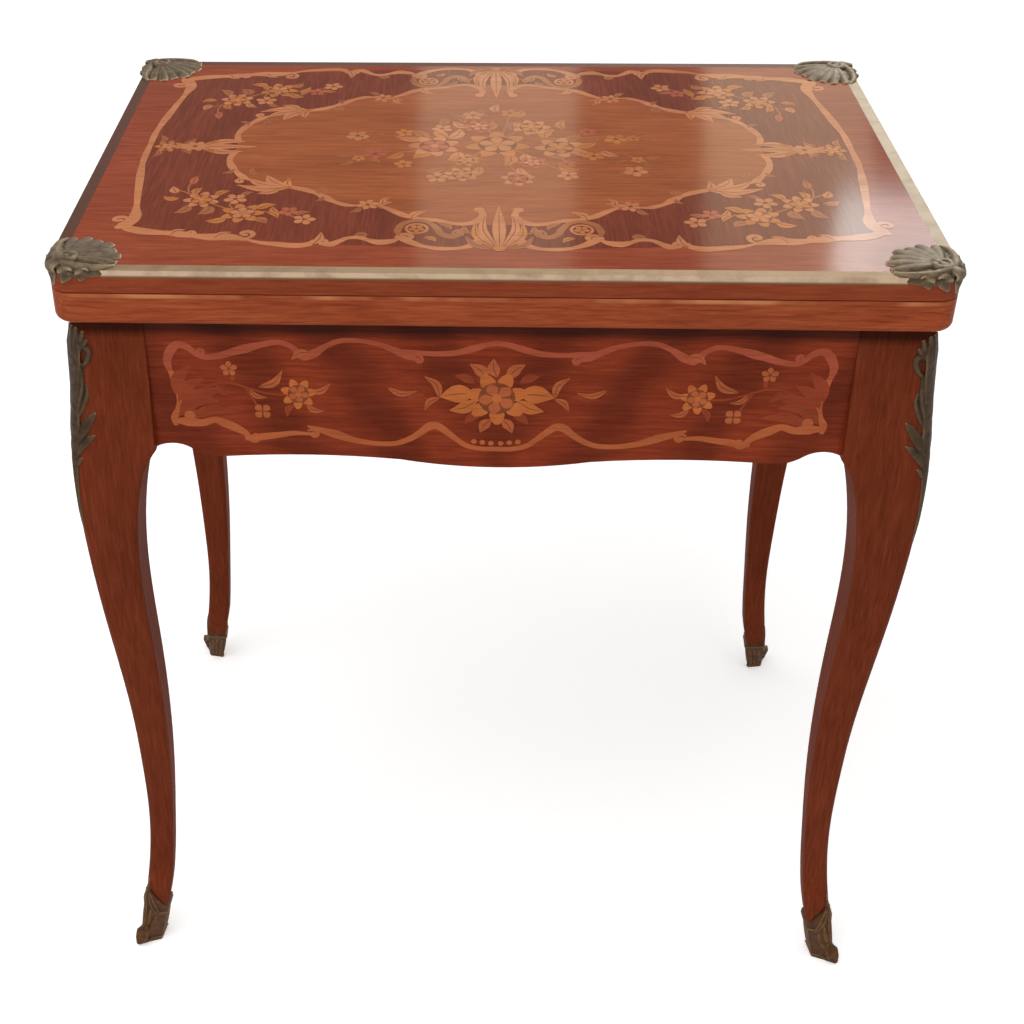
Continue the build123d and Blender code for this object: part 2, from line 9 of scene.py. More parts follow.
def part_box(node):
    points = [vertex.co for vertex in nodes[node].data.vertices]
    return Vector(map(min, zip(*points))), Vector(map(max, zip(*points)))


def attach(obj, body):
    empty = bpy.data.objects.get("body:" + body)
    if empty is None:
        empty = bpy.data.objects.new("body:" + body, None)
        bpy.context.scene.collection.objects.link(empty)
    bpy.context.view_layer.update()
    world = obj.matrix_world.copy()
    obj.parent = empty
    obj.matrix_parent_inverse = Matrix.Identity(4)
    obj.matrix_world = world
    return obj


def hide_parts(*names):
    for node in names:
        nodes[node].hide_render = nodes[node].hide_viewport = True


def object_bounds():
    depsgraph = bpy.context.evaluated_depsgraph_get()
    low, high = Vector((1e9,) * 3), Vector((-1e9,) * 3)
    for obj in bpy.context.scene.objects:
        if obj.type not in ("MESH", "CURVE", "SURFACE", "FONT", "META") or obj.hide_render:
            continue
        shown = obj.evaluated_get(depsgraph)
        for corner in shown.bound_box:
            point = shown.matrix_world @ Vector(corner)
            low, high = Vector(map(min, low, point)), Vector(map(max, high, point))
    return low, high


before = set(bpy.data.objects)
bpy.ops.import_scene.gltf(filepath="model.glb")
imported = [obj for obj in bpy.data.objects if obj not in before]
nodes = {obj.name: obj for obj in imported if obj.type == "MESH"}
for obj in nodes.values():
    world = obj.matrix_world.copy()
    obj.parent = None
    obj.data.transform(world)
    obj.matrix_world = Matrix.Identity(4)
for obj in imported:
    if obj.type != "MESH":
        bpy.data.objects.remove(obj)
cad_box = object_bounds()
MM = 0.001


def show(name, data):
    """A new object in the scene."""
    made = bpy.data.objects.new(name, data)
    bpy.context.scene.collection.objects.link(made)
    return made


# Colours and materials

def srgb(r, g, b):
    """Linear colour of an 8-bit display colour."""
    def channel(c):
        c /= 255
        return c / 12.92 if c <= 0.04045 else ((c + 0.055) / 1.055) ** 2.4
    return (channel(r), channel(g), channel(b), 1)


class Shader:
    """A material with one principled shader and short calls for the nodes that feed it."""

    def __init__(self, name, roughness=0.4, metallic=0.0, specular=0.5, coat=0.0, coat_roughness=0.1):
        self.material = bpy.data.materials.new(name)
        self.material.use_nodes = True
        self.tree = self.material.node_tree
        self.bsdf = self.tree.nodes["Principled BSDF"]
        self.set("Roughness", roughness)
        self.set("Metallic", metallic)
        self.set("Specular IOR Level", specular)
        if coat:
            self.set("Coat Weight", coat)
            self.set("Coat Roughness", coat_roughness)
            self.set("Coat IOR", 1.3)

    def feed(self, socket, value):
        """Link another node's output to a socket, or set a plain value on it."""
        if hasattr(value, "is_output"):
            self.tree.links.new(value, socket)
        else:
            socket.default_value = value

    def set(self, socket, value):
        self.feed(self.bsdf.inputs[socket], value)

    def node(self, kind, inputs=None, **settings):
        made = self.tree.nodes.new(kind)
        for key, value in settings.items():
            setattr(made, key, value)
        for key, value in (inputs or {}).items():
            self.feed(made.inputs[key], value)
        return made

    def noise(self, scale, detail=4.0, rough=0.6, distortion=0.0, stretch=(1, 1, 1)):
        """Noise in the object's coordinates, each multiplied by its share of stretch."""
        where = self.node("ShaderNodeTexCoord").outputs["Object"]
        vector = self.node("ShaderNodeMapping", {"Vector": where, "Scale": stretch}).outputs["Vector"]
        inputs = {"Vector": vector, "Scale": scale, "Detail": detail, "Roughness": rough,
                  "Distortion": distortion}
        return self.node("ShaderNodeTexNoise", inputs).outputs["Fac"]

    def ramp(self, factor, stops):
        made = self.node("ShaderNodeValToRGB", {"Fac": factor})
        row = made.color_ramp.elements
        row[0].position, row[0].color = stops[0]
        row[1].position, row[1].color = stops[-1]
        for position, colour in stops[1:-1]:
            row.new(position).color = colour
        return made.outputs["Color"]

    def mix(self, factor, a, b, how="MIX"):
        """Two colours blended; sockets 0, 6 and 7 are the factor and the colours, output 2 the colour."""
        made = self.node("ShaderNodeMix", data_type="RGBA", blend_type=how)
        for index, value in ((0, factor), (6, a), (7, b)):
            self.feed(made.inputs[index], value)
        return made.outputs[2]

    def range(self, factor, low, high, from_low=0.0, from_high=1.0):
        inputs = {"Value": factor, "From Min": from_low, "From Max": from_high, "To Min": low,
                  "To Max": high}
        return self.node("ShaderNodeMapRange", inputs).outputs["Result"]

    def axis(self, letter, kind="ShaderNodeTexCoord", output="Object"):
        """One coordinate of a vector output, as a rule the place on the object in metres."""
        vector = self.node(kind).outputs[output]
        return self.node("ShaderNodeSeparateXYZ", {"Vector": vector}).outputs[letter]

    def facing(self, letter):
        """One coordinate of the surface normal."""
        return self.axis(letter, "ShaderNodeNewGeometry", "Normal")

    def math(self, how, *values):
        made = self.node("ShaderNodeMath", operation=how)
        for index, value in enumerate(values):
            self.feed(made.inputs[index], value)
        return made.outputs[0]

    def grey(self, value):
        inputs = {"Red": value, "Green": value, "Blue": value}
        return self.node("ShaderNodeCombineColor", inputs).outputs["Color"]

    def finish(self, colour, roughness, relief, strength, distance):
        """Colour, roughness and a fine relief of the surface; returns the material."""
        self.set("Base Color", colour)
        self.set("Roughness", roughness)
        made = self.node("ShaderNodeBump", {"Height": relief, "Strength": strength, "Distance": distance})
        self.set("Normal", made.outputs["Normal"])
        return self.material


def leaf_fibres(shader, scale):
    """Fibres along each edge of a leaf: along x on the flats and the long edges, else along y."""
    long_way = shader.noise(scale, 6, 0.62, 0.35, (1, 16, 16))
    short_way = shader.noise(scale, 6, 0.62, 0.35, (16, 1, 16))
    sideways = shader.range(shader.math("ABSOLUTE", shader.facing("X")), 0, 1, 0.65, 0.75)
    blend = shader.node("ShaderNodeMix", {0: sideways, 2: long_way, 3: short_way}, data_type="FLOAT")
    return blend.outputs[0]


def stained(shader, fibres, tones, drift, drift_dark):
    """Three tones along the fibres under a slow drift between a darker and a lighter shade."""
    colour = shader.ramp(fibres, list(zip((0.28, 0.5, 0.74), tones)))
    drifted = shader.ramp(drift, [(0.3, (*drift_dark, 1)), (0.7, (1.1, 1.09, 1.07, 1))])
    return shader.mix(0.85, colour, drifted, "MULTIPLY")


def wood(name, tones, grain="x", fibre=1.0, varnish=0.25, figure=1.0, gloss=0.1, crotch=False,
        frame_top=False, leaf=False):
    """Varnished veneer: long fibres, darker pores, slow colour drift and a thin lacquer coat, with painted
    shade under the top where asked.
    """
    shader = Shader(name, roughness=0.42, specular=0.0, coat=varnish, coat_roughness=gloss)
    along = {"x": (1, 16, 16), "y": (16, 1, 16), "z": (16, 16, 1)}[grain]
    fibres = leaf_fibres(shader, 26) if leaf else shader.noise(26 * fibre, 6, 0.62, 0.35, along)
    pores = shader.noise(60 * fibre, 2, 0.5, stretch=[c * 2.2 for c in along])
    drift = shader.noise(7 * figure, 3, 0.55, 0.6, [c ** 0.35 for c in along])
    colour = stained(shader, fibres, tones, drift, (0.82, 0.77, 0.74))
    pore_shade = shader.ramp(pores, [(0.30, (0.66, 0.6, 0.57, 1)), (0.42, (1, 1, 1, 1))])
    colour = shader.mix(0.35, colour, pore_shade, "MULTIPLY")
    if crotch:
        colour = shader.mix(1.0, colour, crotch_figure(shader, grain), "MULTIPLY")
        across = {"x": "Y", "y": "X"}[grain]
        outward = shader.math("MULTIPLY", shader.facing(across), shader.axis(across))
        sawn = shader.ramp(fibres, [(0.3, srgb(132, 90, 54)), (0.7, srgb(172, 126, 84))])
        colour = shader.mix(shader.range(outward, 0, 1, -0.02, -0.01), sawn, colour)
    # Painted shade under the overhang of the top: darkest, at 0.3, over the frame's upper 6 mm, fading out
    # 13.5 mm below its top.
    if frame_top:
        overhang_shade = shader.range(shader.axis("Z"), 1.0, 0.3, top_of_frame - 0.0135, top_of_frame - 0.006)
        colour = shader.mix(1.0, colour, shader.grey(overhang_shade), "MULTIPLY")
    return shader.finish(colour, shader.range(fibres, 0.36, 0.5), fibres, 0.1, 0.0003)


def crotch_figure(shader, grain):
    """Bookmatched flames: slanting light and dark bands that run out from the middle of an apron."""
    slope, offset, wander, band = -0.52, 0.199, 0.05, 0.082
    away = shader.math("ABSOLUTE", shader.axis(grain.upper()))
    slant = shader.math("MULTIPLY_ADD", shader.axis("Z"), slope, offset)
    drift = shader.math("MULTIPLY", shader.noise(14, 2), wander)
    reach = shader.math("ADD", shader.math("ADD", away, slant), shader.math("SUBTRACT", drift, wander / 2))
    wave = shader.math("COSINE", shader.math("MULTIPLY", reach, 2 * math.pi / band))
    flames = [(0.1, (0.8, 0.75, 0.72, 1)), (0.9, (1.24, 1.18, 1.14, 1))]
    return shader.ramp(shader.range(wave, 0, 1, -1, 1), flames)


def veneer(name, colour):
    """A plain veneer for the inlay, a little darker and lighter along its fibres."""
    r, g, b, _ = colour
    dark = (r * 0.76, g * 0.72, b * 0.7, 1)
    light = (min(1, r * 1.1), min(1, g * 1.1), min(1, b * 1.1), 1)
    return wood(name, (dark, colour, light), fibre=1.6, figure=2.2)


def bronze(name, tones, crest=None, hollow=None, metallic=0.6):
    """Dark patina, on a casting paler on the crests, as bare metal and as painted highlight, and almost black
    in the hollows.
    """
    shader = Shader(name, metallic=metallic, specular=0.3)
    cloud = shader.noise(130, 5, 0.65)
    fine = shader.noise(620, 3, 0.6)
    colour = shader.ramp(cloud, list(zip((0.3, 0.55, 0.75), tones)))
    roughness = (0.36, 0.6)
    if crest:
        # The pale crests are partly wear and partly painted highlight; the dark hollows are patina.
        pointed = shader.node("ShaderNodeNewGeometry").outputs["Pointiness"]
        colour = shader.mix(shader.range(pointed, 0, 0.9, 0.506, 0.555), colour, crest)
        colour = shader.mix(shader.range(pointed, 1, 0, 0.455, 0.498), colour, hollow)
        roughness = (0.46, 0.72)
    return shader.finish(colour, shader.range(fine, *roughness), fine, 0.3, 0.0004)


def turned_metal(name, colour, tarnish, roughness):
    """Metal from the lathe or the file, with a little tarnish."""
    shader = Shader(name, metallic=1.0)
    cloud = shader.noise(55, 5, 0.6, 0.4)
    lines = shader.noise(420, 3, 0.6)
    colour = shader.mix(shader.range(cloud, 0, 0.55, 0.42, 0.75), colour, tarnish)
    return shader.finish(colour, shader.range(lines, roughness * 0.75, roughness * 1.5), lines, 0.08, 0.0002)


def banding(name, face, flange, shade):
    """Brass strip with tarnish clouds; painted light makes its upright face bright and its flat top darker,
    and it darkens towards its lower line.
    """
    shader = Shader(name, specular=0.4)
    cloud = shader.noise(48, 5, 0.6, 0.5)
    fine = shader.noise(500, 3, 0.6)
    # Painted light: upright faces take the bright face colour, upward faces the darker flange colour.
    upward = shader.range(shader.facing("Z"), 0, 1, 0.5, 0.9)
    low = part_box("banding_front")[0].z
    # The shade colour over the lowest 1 mm of the front banding, fading out 2.8 mm above its lower line.
    lower_darkening = shader.range(shader.axis("Z"), 1, 0, low + 0.001, low + 0.0028)
    colour = shader.mix(lower_darkening, shader.mix(upward, face, flange), shade)
    colour = shader.mix(shader.range(cloud, 0, 0.6, 0.45, 0.75), colour, shade)
    shader.set("Metallic", shader.range(upward, 0.9, 0.55))
    roughness = shader.math("MULTIPLY_ADD", upward, 0.34, shader.range(fine, 0.24, 0.42))
    return shader.finish(colour, roughness, fine, 0.1, 0.0002)


def edge_wood(name, tones, joint):
    """The veneered edge of a leaf, with a painted highlight in pale patches along the arris at the joint of
    the leaves.
    """
    shader = Shader(name, specular=0.0, coat=0.25, coat_roughness=0.12)
    fibres = leaf_fibres(shader, 30)
    drift = shader.noise(7, 3, 0.55, 0.6, (1, 3, 3))
    colour = stained(shader, fibres, tones, drift, (0.8, 0.74, 0.7))
    # Painted highlight: pale patches on the upright faces along the top 2.6 mm of the lower leaf's edge,
    # fading out 4.2 mm below the joint.
    arris_band = shader.range(shader.axis("Z"), 0, 1, joint - 0.0042, joint - 0.0026)
    patchy = shader.range(shader.noise(9, 3, 0.6, stretch=(1, 0, 0)), 0.05, 0.85, 0.46, 0.6)
    upright = shader.range(shader.math("ABSOLUTE", shader.facing("Z")), 1, 0, 0.6, 0.8)
    painted_highlight = shader.math("MULTIPLY", shader.math("MULTIPLY", arris_band, patchy), upright)
    colour = shader.mix(painted_highlight, colour, srgb(196, 128, 84))
    return shader.finish(colour, shader.range(fibres, 0.36, 0.5), fibres, 0.1, 0.0003)


def baize_cloth(name):
    """Short-napped wool: a felted, mottled green with a soft sheen and no gloss."""
    shader = Shader(name, specular=0.1)
    shader.set("Sheen Weight", 0.35)
    shader.set("Sheen Roughness", 0.5)
    nap = shader.noise(900, 4, 0.7)
    cloud = shader.noise(22, 3, 0.5)
    colour = shader.ramp(nap, [(0.3, srgb(24, 66, 38)), (0.7, srgb(44, 96, 58))])
    shade = shader.ramp(cloud, [(0.35, (0.82, 0.84, 0.8, 1)), (0.65, (1.06, 1.05, 1.0, 1))])
    return shader.finish(shader.mix(1.0, colour, shade, "MULTIPLY"), 0.95, nap, 0.6, 0.0006)


def linear(*colours):
    """Several display colours, given as (red, green, blue), as linear ones."""
    return [srgb(*colour) for colour in colours]


top_of_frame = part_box("apron_front")[1].z
leaf_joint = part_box("lower_leaf")[1].z
frieze_tones = linear((104, 38, 16), (122, 48, 24), (138, 60, 34))

WOOD_FIELD = wood("top_veneer", linear((120, 50, 26), (138, 62, 36), (152, 76, 46)), leaf=True)
WOOD_EDGE = edge_wood("leaf_edge_veneer", linear((126, 52, 26), (154, 72, 40), (172, 90, 54)), leaf_joint)
WOOD_CARTOUCHE = wood("cartouche_veneer", linear((132, 64, 30), (148, 78, 40), (164, 92, 52)))
WOOD_CORNER = wood("corner_veneer", linear((98, 40, 22), (114, 50, 30), (128, 62, 40)), "y", 1.2)
WOOD_FRIEZE = wood("frieze_veneer", frieze_tones, "x", crotch=True, frame_top=True)
WOOD_FRIEZE_SIDE = wood("frieze_side_veneer", frieze_tones, "y", crotch=True, frame_top=True)
WOOD_LEG = wood("leg_veneer", linear((98, 42, 20), (113, 50, 28), (126, 60, 37)), "z", varnish=0.1, gloss=0.2,
        frame_top=True)
WOOD_PLAIN = wood("sawn_wood", linear((150, 104, 64), (176, 128, 84), (194, 150, 104)), "y", 0.8, 0.0)
INLAY_LIGHT = veneer("inlay_fruitwood", srgb(182, 116, 76))
INLAY_ROSE = veneer("inlay_rose", srgb(168, 88, 62))
INLAY_AMBER = veneer("inlay_amber", srgb(176, 108, 56))
INLAY_LEAF = veneer("inlay_leaf", srgb(156, 94, 56))
INLAY_SHADE = veneer("inlay_shade", srgb(126, 66, 38))
FRIEZE_LIGHT = veneer("frieze_fruitwood", srgb(174, 92, 54))
FRIEZE_PINK = veneer("frieze_pinkwood", srgb(166, 80, 55))
FRIEZE_ROSE = veneer("frieze_rose", srgb(146, 62, 36))
FRIEZE_BLOOM = veneer("frieze_bloom", srgb(188, 104, 54))
BRONZE = bronze("patinated_bronze", linear((56, 42, 27), (90, 72, 51), (110, 92, 68)),
        srgb(166, 148, 118), srgb(22, 14, 7), 0.45)
# A darker copy of the mounts' bronze for the knees, as painted shade.
KNEE_BRONZE_SHADED = bronze("dark_bronze", linear((46, 32, 20), (70, 52, 36), (88, 68, 48)),
        srgb(116, 94, 68), srgb(26, 16, 8))
SHOE_BRONZE = bronze("shoe_bronze", linear((60, 34, 16), (84, 54, 28), (104, 72, 40)),
        srgb(132, 98, 60), srgb(28, 14, 5))
SHOE_BODY = bronze("shoe_body_bronze", linear((54, 30, 14), (78, 48, 25), (96, 64, 36)))
# The front banding; a darker copy as painted shade for the other bandings, and a paler copy as painted
# reflection for the right one.
BRASS = banding("banding_brass", *linear((186, 160, 134), (134, 110, 82), (104, 76, 50)))
BRASS_SHADED = banding("dull_banding_brass", *linear((108, 70, 42), (74, 34, 14), (56, 28, 14)))
BRASS_REFLECTING = banding("worn_banding_brass", *linear((160, 136, 108), (146, 130, 112), (108, 90, 70)))
HINGE = turned_metal("hinge_brass", srgb(172, 142, 90), srgb(124, 92, 52), 0.34)
STEEL = turned_metal("turned_steel", srgb(176, 174, 170), srgb(120, 116, 110), 0.25)
BAIZE = baize_cloth("green_baize")

# The material of a node by how its name begins; the first that fits counts.
BY_NAME = {
    "sabot": SHOE_BODY, "knee_mount": BRONZE, "corner_mount": BRONZE, "banding_front": BRASS,
    "banding_right": BRASS_REFLECTING, "banding": BRASS_SHADED, "hinge_pin": STEEL, "hinge": HINGE,
    "pivot_plate": HINGE, "bearing_ring": HINGE, "pivot_board": WOOD_PLAIN, "pivot": STEEL,
    "stop_pin": STEEL, "plate_screws": STEEL, "baize": BAIZE, "slide_felts": BAIZE, "well": WOOD_PLAIN,
    "floor_battens": WOOD_PLAIN, "board_battens": WOOD_PLAIN, "upper_leaf": WOOD_FIELD,
    "lower_leaf": WOOD_EDGE, "apron_left": WOOD_FRIEZE_SIDE, "apron_right": WOOD_FRIEZE_SIDE,
    "apron": WOOD_FRIEZE, "leg": WOOD_LEG,
}
for name, node in nodes.items():
    node.data.materials.clear()
    node.data.materials.append(next(made for start, made in BY_NAME.items() if name.startswith(start)))


# Cast bronze mounts

def spline(controls, steps):
    """Points on a smooth curve through the controls, which are tuples or vectors of any one length."""
    rows = [tuple(c) for c in controls]
    before, after = (tuple(2 * a - b for a, b in zip(rows[i], rows[j])) for i, j in ((0, 1), (-1, -2)))
    rows = [before, *rows, after]
    spans = len(rows) - 3
    made = []
    for step in range(steps + 1):
        place = step / steps * spans
        span = min(int(place), spans - 1)
        t = place - span
        p0, p1, p2, p3 = rows[span:span + 4]
        made.append(tuple(
            0.5 * (2 * b + (c - a) * t + (2 * a - 5 * b + 4 * c - d) * t * t
                   + (3 * b - a - 3 * c + d) * t ** 3)
            for a, b, c, d in zip(p0, p1, p2, p3)))
    return made


def along(values, t):
    """The value at t, from 0 to 1, in a list of values spread evenly."""
    place = min(max(t, 0), 1) * (len(values) - 1)
    index = min(int(place), len(values) - 2)
    return values[index] + (values[index + 1] - values[index]) * (place - index)


class Casting:
    """Closed fronds and beads on a surface, fused by a fine remesh into one cast piece."""

    thinnest = 0.12
    sides = 12

    def __init__(self):
        self.vertices = []
        self.faces = []

    def frond(self, controls, widths, rises, sink=0.9, steps=22):
        """A lens-shaped body along (point, normal) controls in metres; widths, rises and sink in mm."""
        rows = spline([tuple(p) + tuple(n) for p, n in controls], steps)
        points = [Vector(r[:3]) for r in rows]
        first = len(self.vertices)
        for i, row in enumerate(rows):
            t = i / steps
            tangent = (points[min(i + 1, steps)] - points[max(i - 1, 0)]).normalized()
            normal = Vector(row[3:])
            normal = (normal - tangent * normal.dot(tangent)).normalized()
            side = normal.cross(tangent)
            width = max(along(widths, t), self.thinnest) * MM
            rise = max(along(rises, t), self.thinnest) * MM
            for k in range(self.sides):
                angle = 2 * math.pi * k / self.sides
                lift = math.sin(angle) * (rise if math.sin(angle) > 0 else sink * MM)
                self.vertices.append(points[i] + side * width * math.cos(angle) + normal * lift)
        for i in range(steps):
            for k in range(self.sides):
                a = first + i * self.sides + k
                b = first + i * self.sides + (k + 1) % self.sides
                self.faces.append((a, b, b + self.sides, a + self.sides))
        self.faces.append(tuple(first + k for k in reversed(range(self.sides))))
        self.faces.append(tuple(first + steps * self.sides + k for k in range(self.sides)))

    def strand(self, place, spots, widths, rises, **more):
        """A frond through spots, each given in the numbers that a place function takes."""
        self.frond([place(*spot) for spot in spots], widths, rises, **more)

    def bead(self, point, normal, radius, rise):
        """A domed boss that stands on the surface."""
        normal = normal.normalized()
        step = radius * MM * normal.orthogonal().normalized()
        dome = [0.1, 0.66, 0.87, 1, 0.87, 0.66, 0.1]
        widths, rises = (
            [size * share if share > 0.1 else share for share in dome] for size in (radius, rise))
        self.frond([(point - step, normal), (point, normal), (point + step, normal)], widths, rises, steps=14)

    def make(self, name, body, replaced=(), voxel=0.75, material=None, limit=None):
        """The fused piece; limit is the low and the high corner of a box that it may not leave."""
        mesh = bpy.data.meshes.new(name)
        mesh.from_pydata(self.vertices, [], self.faces)
        raw = show(name + "_raw", mesh)
        remesh = raw.modifiers.new("fuse", "REMESH")
        remesh.mode = "VOXEL"
        remesh.voxel_size = voxel * MM
        smooth = raw.modifiers.new("soften", "SMOOTH")
        smooth.factor = 0.5
        smooth.iterations = 2
        bpy.context.view_layer.update()
        fused = bpy.data.meshes.new_from_object(raw.evaluated_get(bpy.context.evaluated_depsgraph_get()))
        bpy.data.objects.remove(raw)
        fused.name = name
        if limit:
            for vertex in fused.vertices:
                for axis in (0, 1, 2):
                    vertex.co[axis] = min(max(vertex.co[axis], limit[0][axis]), limit[1][axis])
        piece = show(name, fused)
        fused.polygons.foreach_set("use_smooth", [True] * len(fused.polygons))
        fused.materials.clear()
        fused.materials.append(material or BRONZE)
        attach(piece, body)
        if replaced:
            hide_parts(*replaced)
        return piece


def surface_tree(*meshes):
    """A ray-cast tree over some meshes."""
    vertices, faces = [], []
    for mesh in meshes:
        first = len(vertices)
        vertices += [v.co.copy() for v in mesh.vertices]
        faces += [tuple(first + i for i in p.vertices) for p in mesh.polygons]
    return BVHTree.FromPolygons(vertices, faces)


# In mm: the leaf's half width, half depth and top, and the outer faces of the posts behind its overhang.
leaf_low, leaf_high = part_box("upper_leaf")
leaf_half_width, leaf_half_depth, leaf_top = (
    round(size / MM, 1) for size in (leaf_high.x, -leaf_low.y, leaf_high.z))
overhang = 10
post_face_x = leaf_half_width - overhang
post_face_y = leaf_half_depth - overhang

length_of_knee_mount = 198.6
foot_height = 85
foot_pinch = 0.5
heel_pinch = 0.3
lean_of_foot = 0.13
CORNERS = {"front_left": (-1, -1), "front_right": (1, -1), "back_left": (-1, 1), "back_right": (1, 1)}


def round_corner(tree, side_x, side_y, inset=22):
    """A function from (distance from the arris along a face, height), in mm, to a point and its normal."""
    diagonal = Vector((side_x, side_y, 0)).normalized()
    middle = Vector((side_x * post_face_x, side_y * post_face_y, 0)) * MM
    arris_round = 3.5

    def place(reach, height, lift=0.0):
        level = Vector((0, 0, height * MM))
        ridge = tree.ray_cast(middle + diagonal * 0.15 + level, -diagonal, 0.3)[0]
        ridge = ridge if ridge is not None else middle + level
        axis = ridge - diagonal * (inset * math.sqrt(2) - arris_round) * MM
        turn = math.pi / 4 - math.atan2(inset - abs(reach), inset)
        swing = math.copysign(turn, reach) * side_x * side_y
        toward = Matrix.Rotation(swing, 3, "Z") @ diagonal
        hit, normal, _, _ = tree.ray_cast(axis + toward * 0.12, -toward, 0.2)
        if hit is None:
            hit, normal = ridge, diagonal
        normal = (normal + toward * 0.6).normalized()
        return hit + normal * lift * MM, normal

    return place


def corner_casting(name, side_x, side_y):
    """A shell of ribs on a corner of the top, rolled over its edges save where the open leaves meet."""
    made = Casting()
    corner = round_corner(surface_tree(nodes["upper_leaf"].data), side_x, side_y)
    upward = Vector((0, 0, 1))
    root = 15

    def top(a, b, lift=0.0):
        """A point on the flat, a and b in from the leaf's two edges."""
        x, y = side_x * (leaf_half_width - a), side_y * (leaf_half_depth - b)
        return Vector((x, y, leaf_top + lift)) * MM, upward

    def edge(reach, below, lift=0.0):
        """A point on the leaf's edge, some way below its top."""
        return corner(reach, leaf_top - below, lift)

    made.strand(top, [(6, 6), (22, 22), (41, 41)],
            [10, 20, 26, 27, 23, 10], [1.2, 2.4, 2.8, 2.6, 2.2, 1], sink=0.5)
    ribs = [(55, 12, 4.6), (56, 24, 5.4), (50, 34, 5.6), (45, 45, 6.2), (34, 50, 5.4), (24, 55, 5.2),
            (12, 54, 4.4)]
    for a, b, width in ribs:
        start = (root + 0.05 * a, root + 0.05 * b, 1.5)
        bend = (root + 0.48 * (a - root), root + 0.48 * (b - root), 1.6)
        widths = [2.2, width * 0.72, width, width * 1.15, width * 0.75]
        made.strand(top, [start, bend, (a, b, -0.4)], widths, [3.2, 3.4, 3.0, 2.8, 1.8], sink=1.4)
    for sign in (1, -1):
        def turned(a, b, lift=0.0):
            return top(a, b, lift) if sign > 0 else top(b, a, lift)
        roll = [(54, 8), (44, 3, 0.5), (26, 3, 1), (12, 9, 2), (10, 19, 2.4), (18, 22, 2), (20, 15, 2)]
        made.strand(turned, roll, [1.4, 3.2, 4.2, 4, 3.6, 3, 2], [1.4, 3, 3.6, 4, 4, 3.6, 2.6],
                sink=1.6, steps=34)
        made.frond([turned(34, 6, 1), turned(30, 0.5, 0.5), edge(sign * 27, 3), edge(sign * 24, 9)],
                [4, 6, 6, 4.6, 1.2], [2, 2.4, 2.2, 1.8, 0.8], sink=0.9)
        made.frond([turned(20, 5, 1), turned(17, 0.5, 0.5), edge(sign * 15, 4), edge(sign * 11, 11)],
                [4, 6.5, 6.5, 5, 1.2], [2, 2.6, 2.4, 2, 0.8], sink=0.9)
        made.frond([edge(sign * 44, 3, -0.2), edge(sign * 22, 3), edge(sign * 0.01, 3.5)],
                [3, 3.3, 3.2, 3], [1, 1.8, 2, 2], sink=0.9)
    made.frond([top(16, 16, 3), top(5, 5, 1.6), edge(0, 4, 0.2), edge(0, 15)],
            [4, 6, 6.4, 5, 1.4], [3, 3, 2.6, 2.2, 1], sink=1)
    made.bead(*top(19, 19, 2.4), 6.2, 4.2)
    made.bead(*top(9, 9, 1), 3.6, 3.6)
    behind = leaf_high.y - 0.1 * MM
    limit = [Vector((-1, -1, 0)), Vector((1, behind, 1))] if side_y > 0 else None
    return made.make("corner_casting_" + name, "upper_leaf_body", ["corner_mount_" + name], limit=limit)


def knee_casting(name, side_x, side_y):
    """A shell over a narrow strap, a pair of split leaves below it and a long stem down the arris."""
    made = Casting()
    arris = round_corner(surface_tree(nodes["leg_" + name].data), side_x, side_y)
    base = round(top_of_frame / MM - length_of_knee_mount, 1)

    def at(reach, above, lift=0.0):
        return arris(reach, base + above, lift)

    made.strand(at, [(0, 192), (0, 170), (0, 140), (0, 110), (0, 82)],
            [5, 9, 8.4, 7, 6.4, 7, 3], [1.4, 2.4, 2.6, 2.4, 2.4, 2.4, 1.6], steps=30)
    for reach, above in ((0, 195.5), (6, 195), (-6, 195), (11.5, 191.5), (-11.5, 191.5), (14.5, 184),
            (-14.5, 184)):
        rib = [(reach * 0.12, 164), (reach * 0.7, 178), (reach, above)]
        made.strand(at, rib, [1.6, 2.6, 3, 1.4], [2.2, 3, 2.8, 1.4])
    for sign in (1, -1):
        def beside(reach, above):
            return at(sign * reach, above)
        made.strand(beside, [(4, 156), (13, 164), (15, 174), (9, 177), (8, 170)],
                [1.6, 2.6, 2.8, 2.4, 1.8], [2, 2.8, 3, 2.6, 1.8], steps=28)
        for leaflet in (
            ([(9, 160), (9.5, 142), (7, 125), (5, 110)], [1.2, 1.9, 1.9, 1.4], [2, 3, 3, 2]),
            ([(3, 86), (9, 100), (15, 111), (20.5, 118)], [2, 4.2, 4.6, 3.4, 0.8], [2.2, 2.8, 2.4, 1.8, 0.7]),
            ([(2, 76), (8, 86), (14, 93), (20, 97)], [1.8, 3.6, 4, 3, 0.7], [2.2, 2.6, 2.2, 1.6, 0.7]),
            ([(4, 110), (9, 122), (13, 134), (12, 144)], [1.4, 2.4, 2.4, 1.6, 0.6], [1.8, 2.2, 2, 1.4, 0.6]),
            ([(2, 66), (6, 73), (10, 76)], [1.4, 2.6, 2.2, 0.6], [2, 2.2, 1.8, 0.7]),
        ):
            made.strand(beside, *leaflet)
    made.strand(at, [(0, 110), (0, 82), (0, 55), (0, 25), (0, 0)],
            [3, 4.6, 4.4, 3.2, 2.4, 1.8, 1], [2.6, 2.8, 2.6, 2.4, 2, 1.6, 0.9], steps=34)
    for above, radius in ((164, 4), (122, 3), (104, 2.6)):
        made.bead(*at(0, above, 1.4), radius, 2.2)
    return made.make("knee_casting_" + name, "base", ["knee_mount_" + name], 0.7, KNEE_BRONZE_SHADED)


def foot_axis(side_x, side_y, height):
    """The middle of a foot at a height in mm."""
    lean = lean_of_foot * height
    return Vector((side_x * (post_face_x - lean), side_y * (post_face_y - lean), height)) * MM


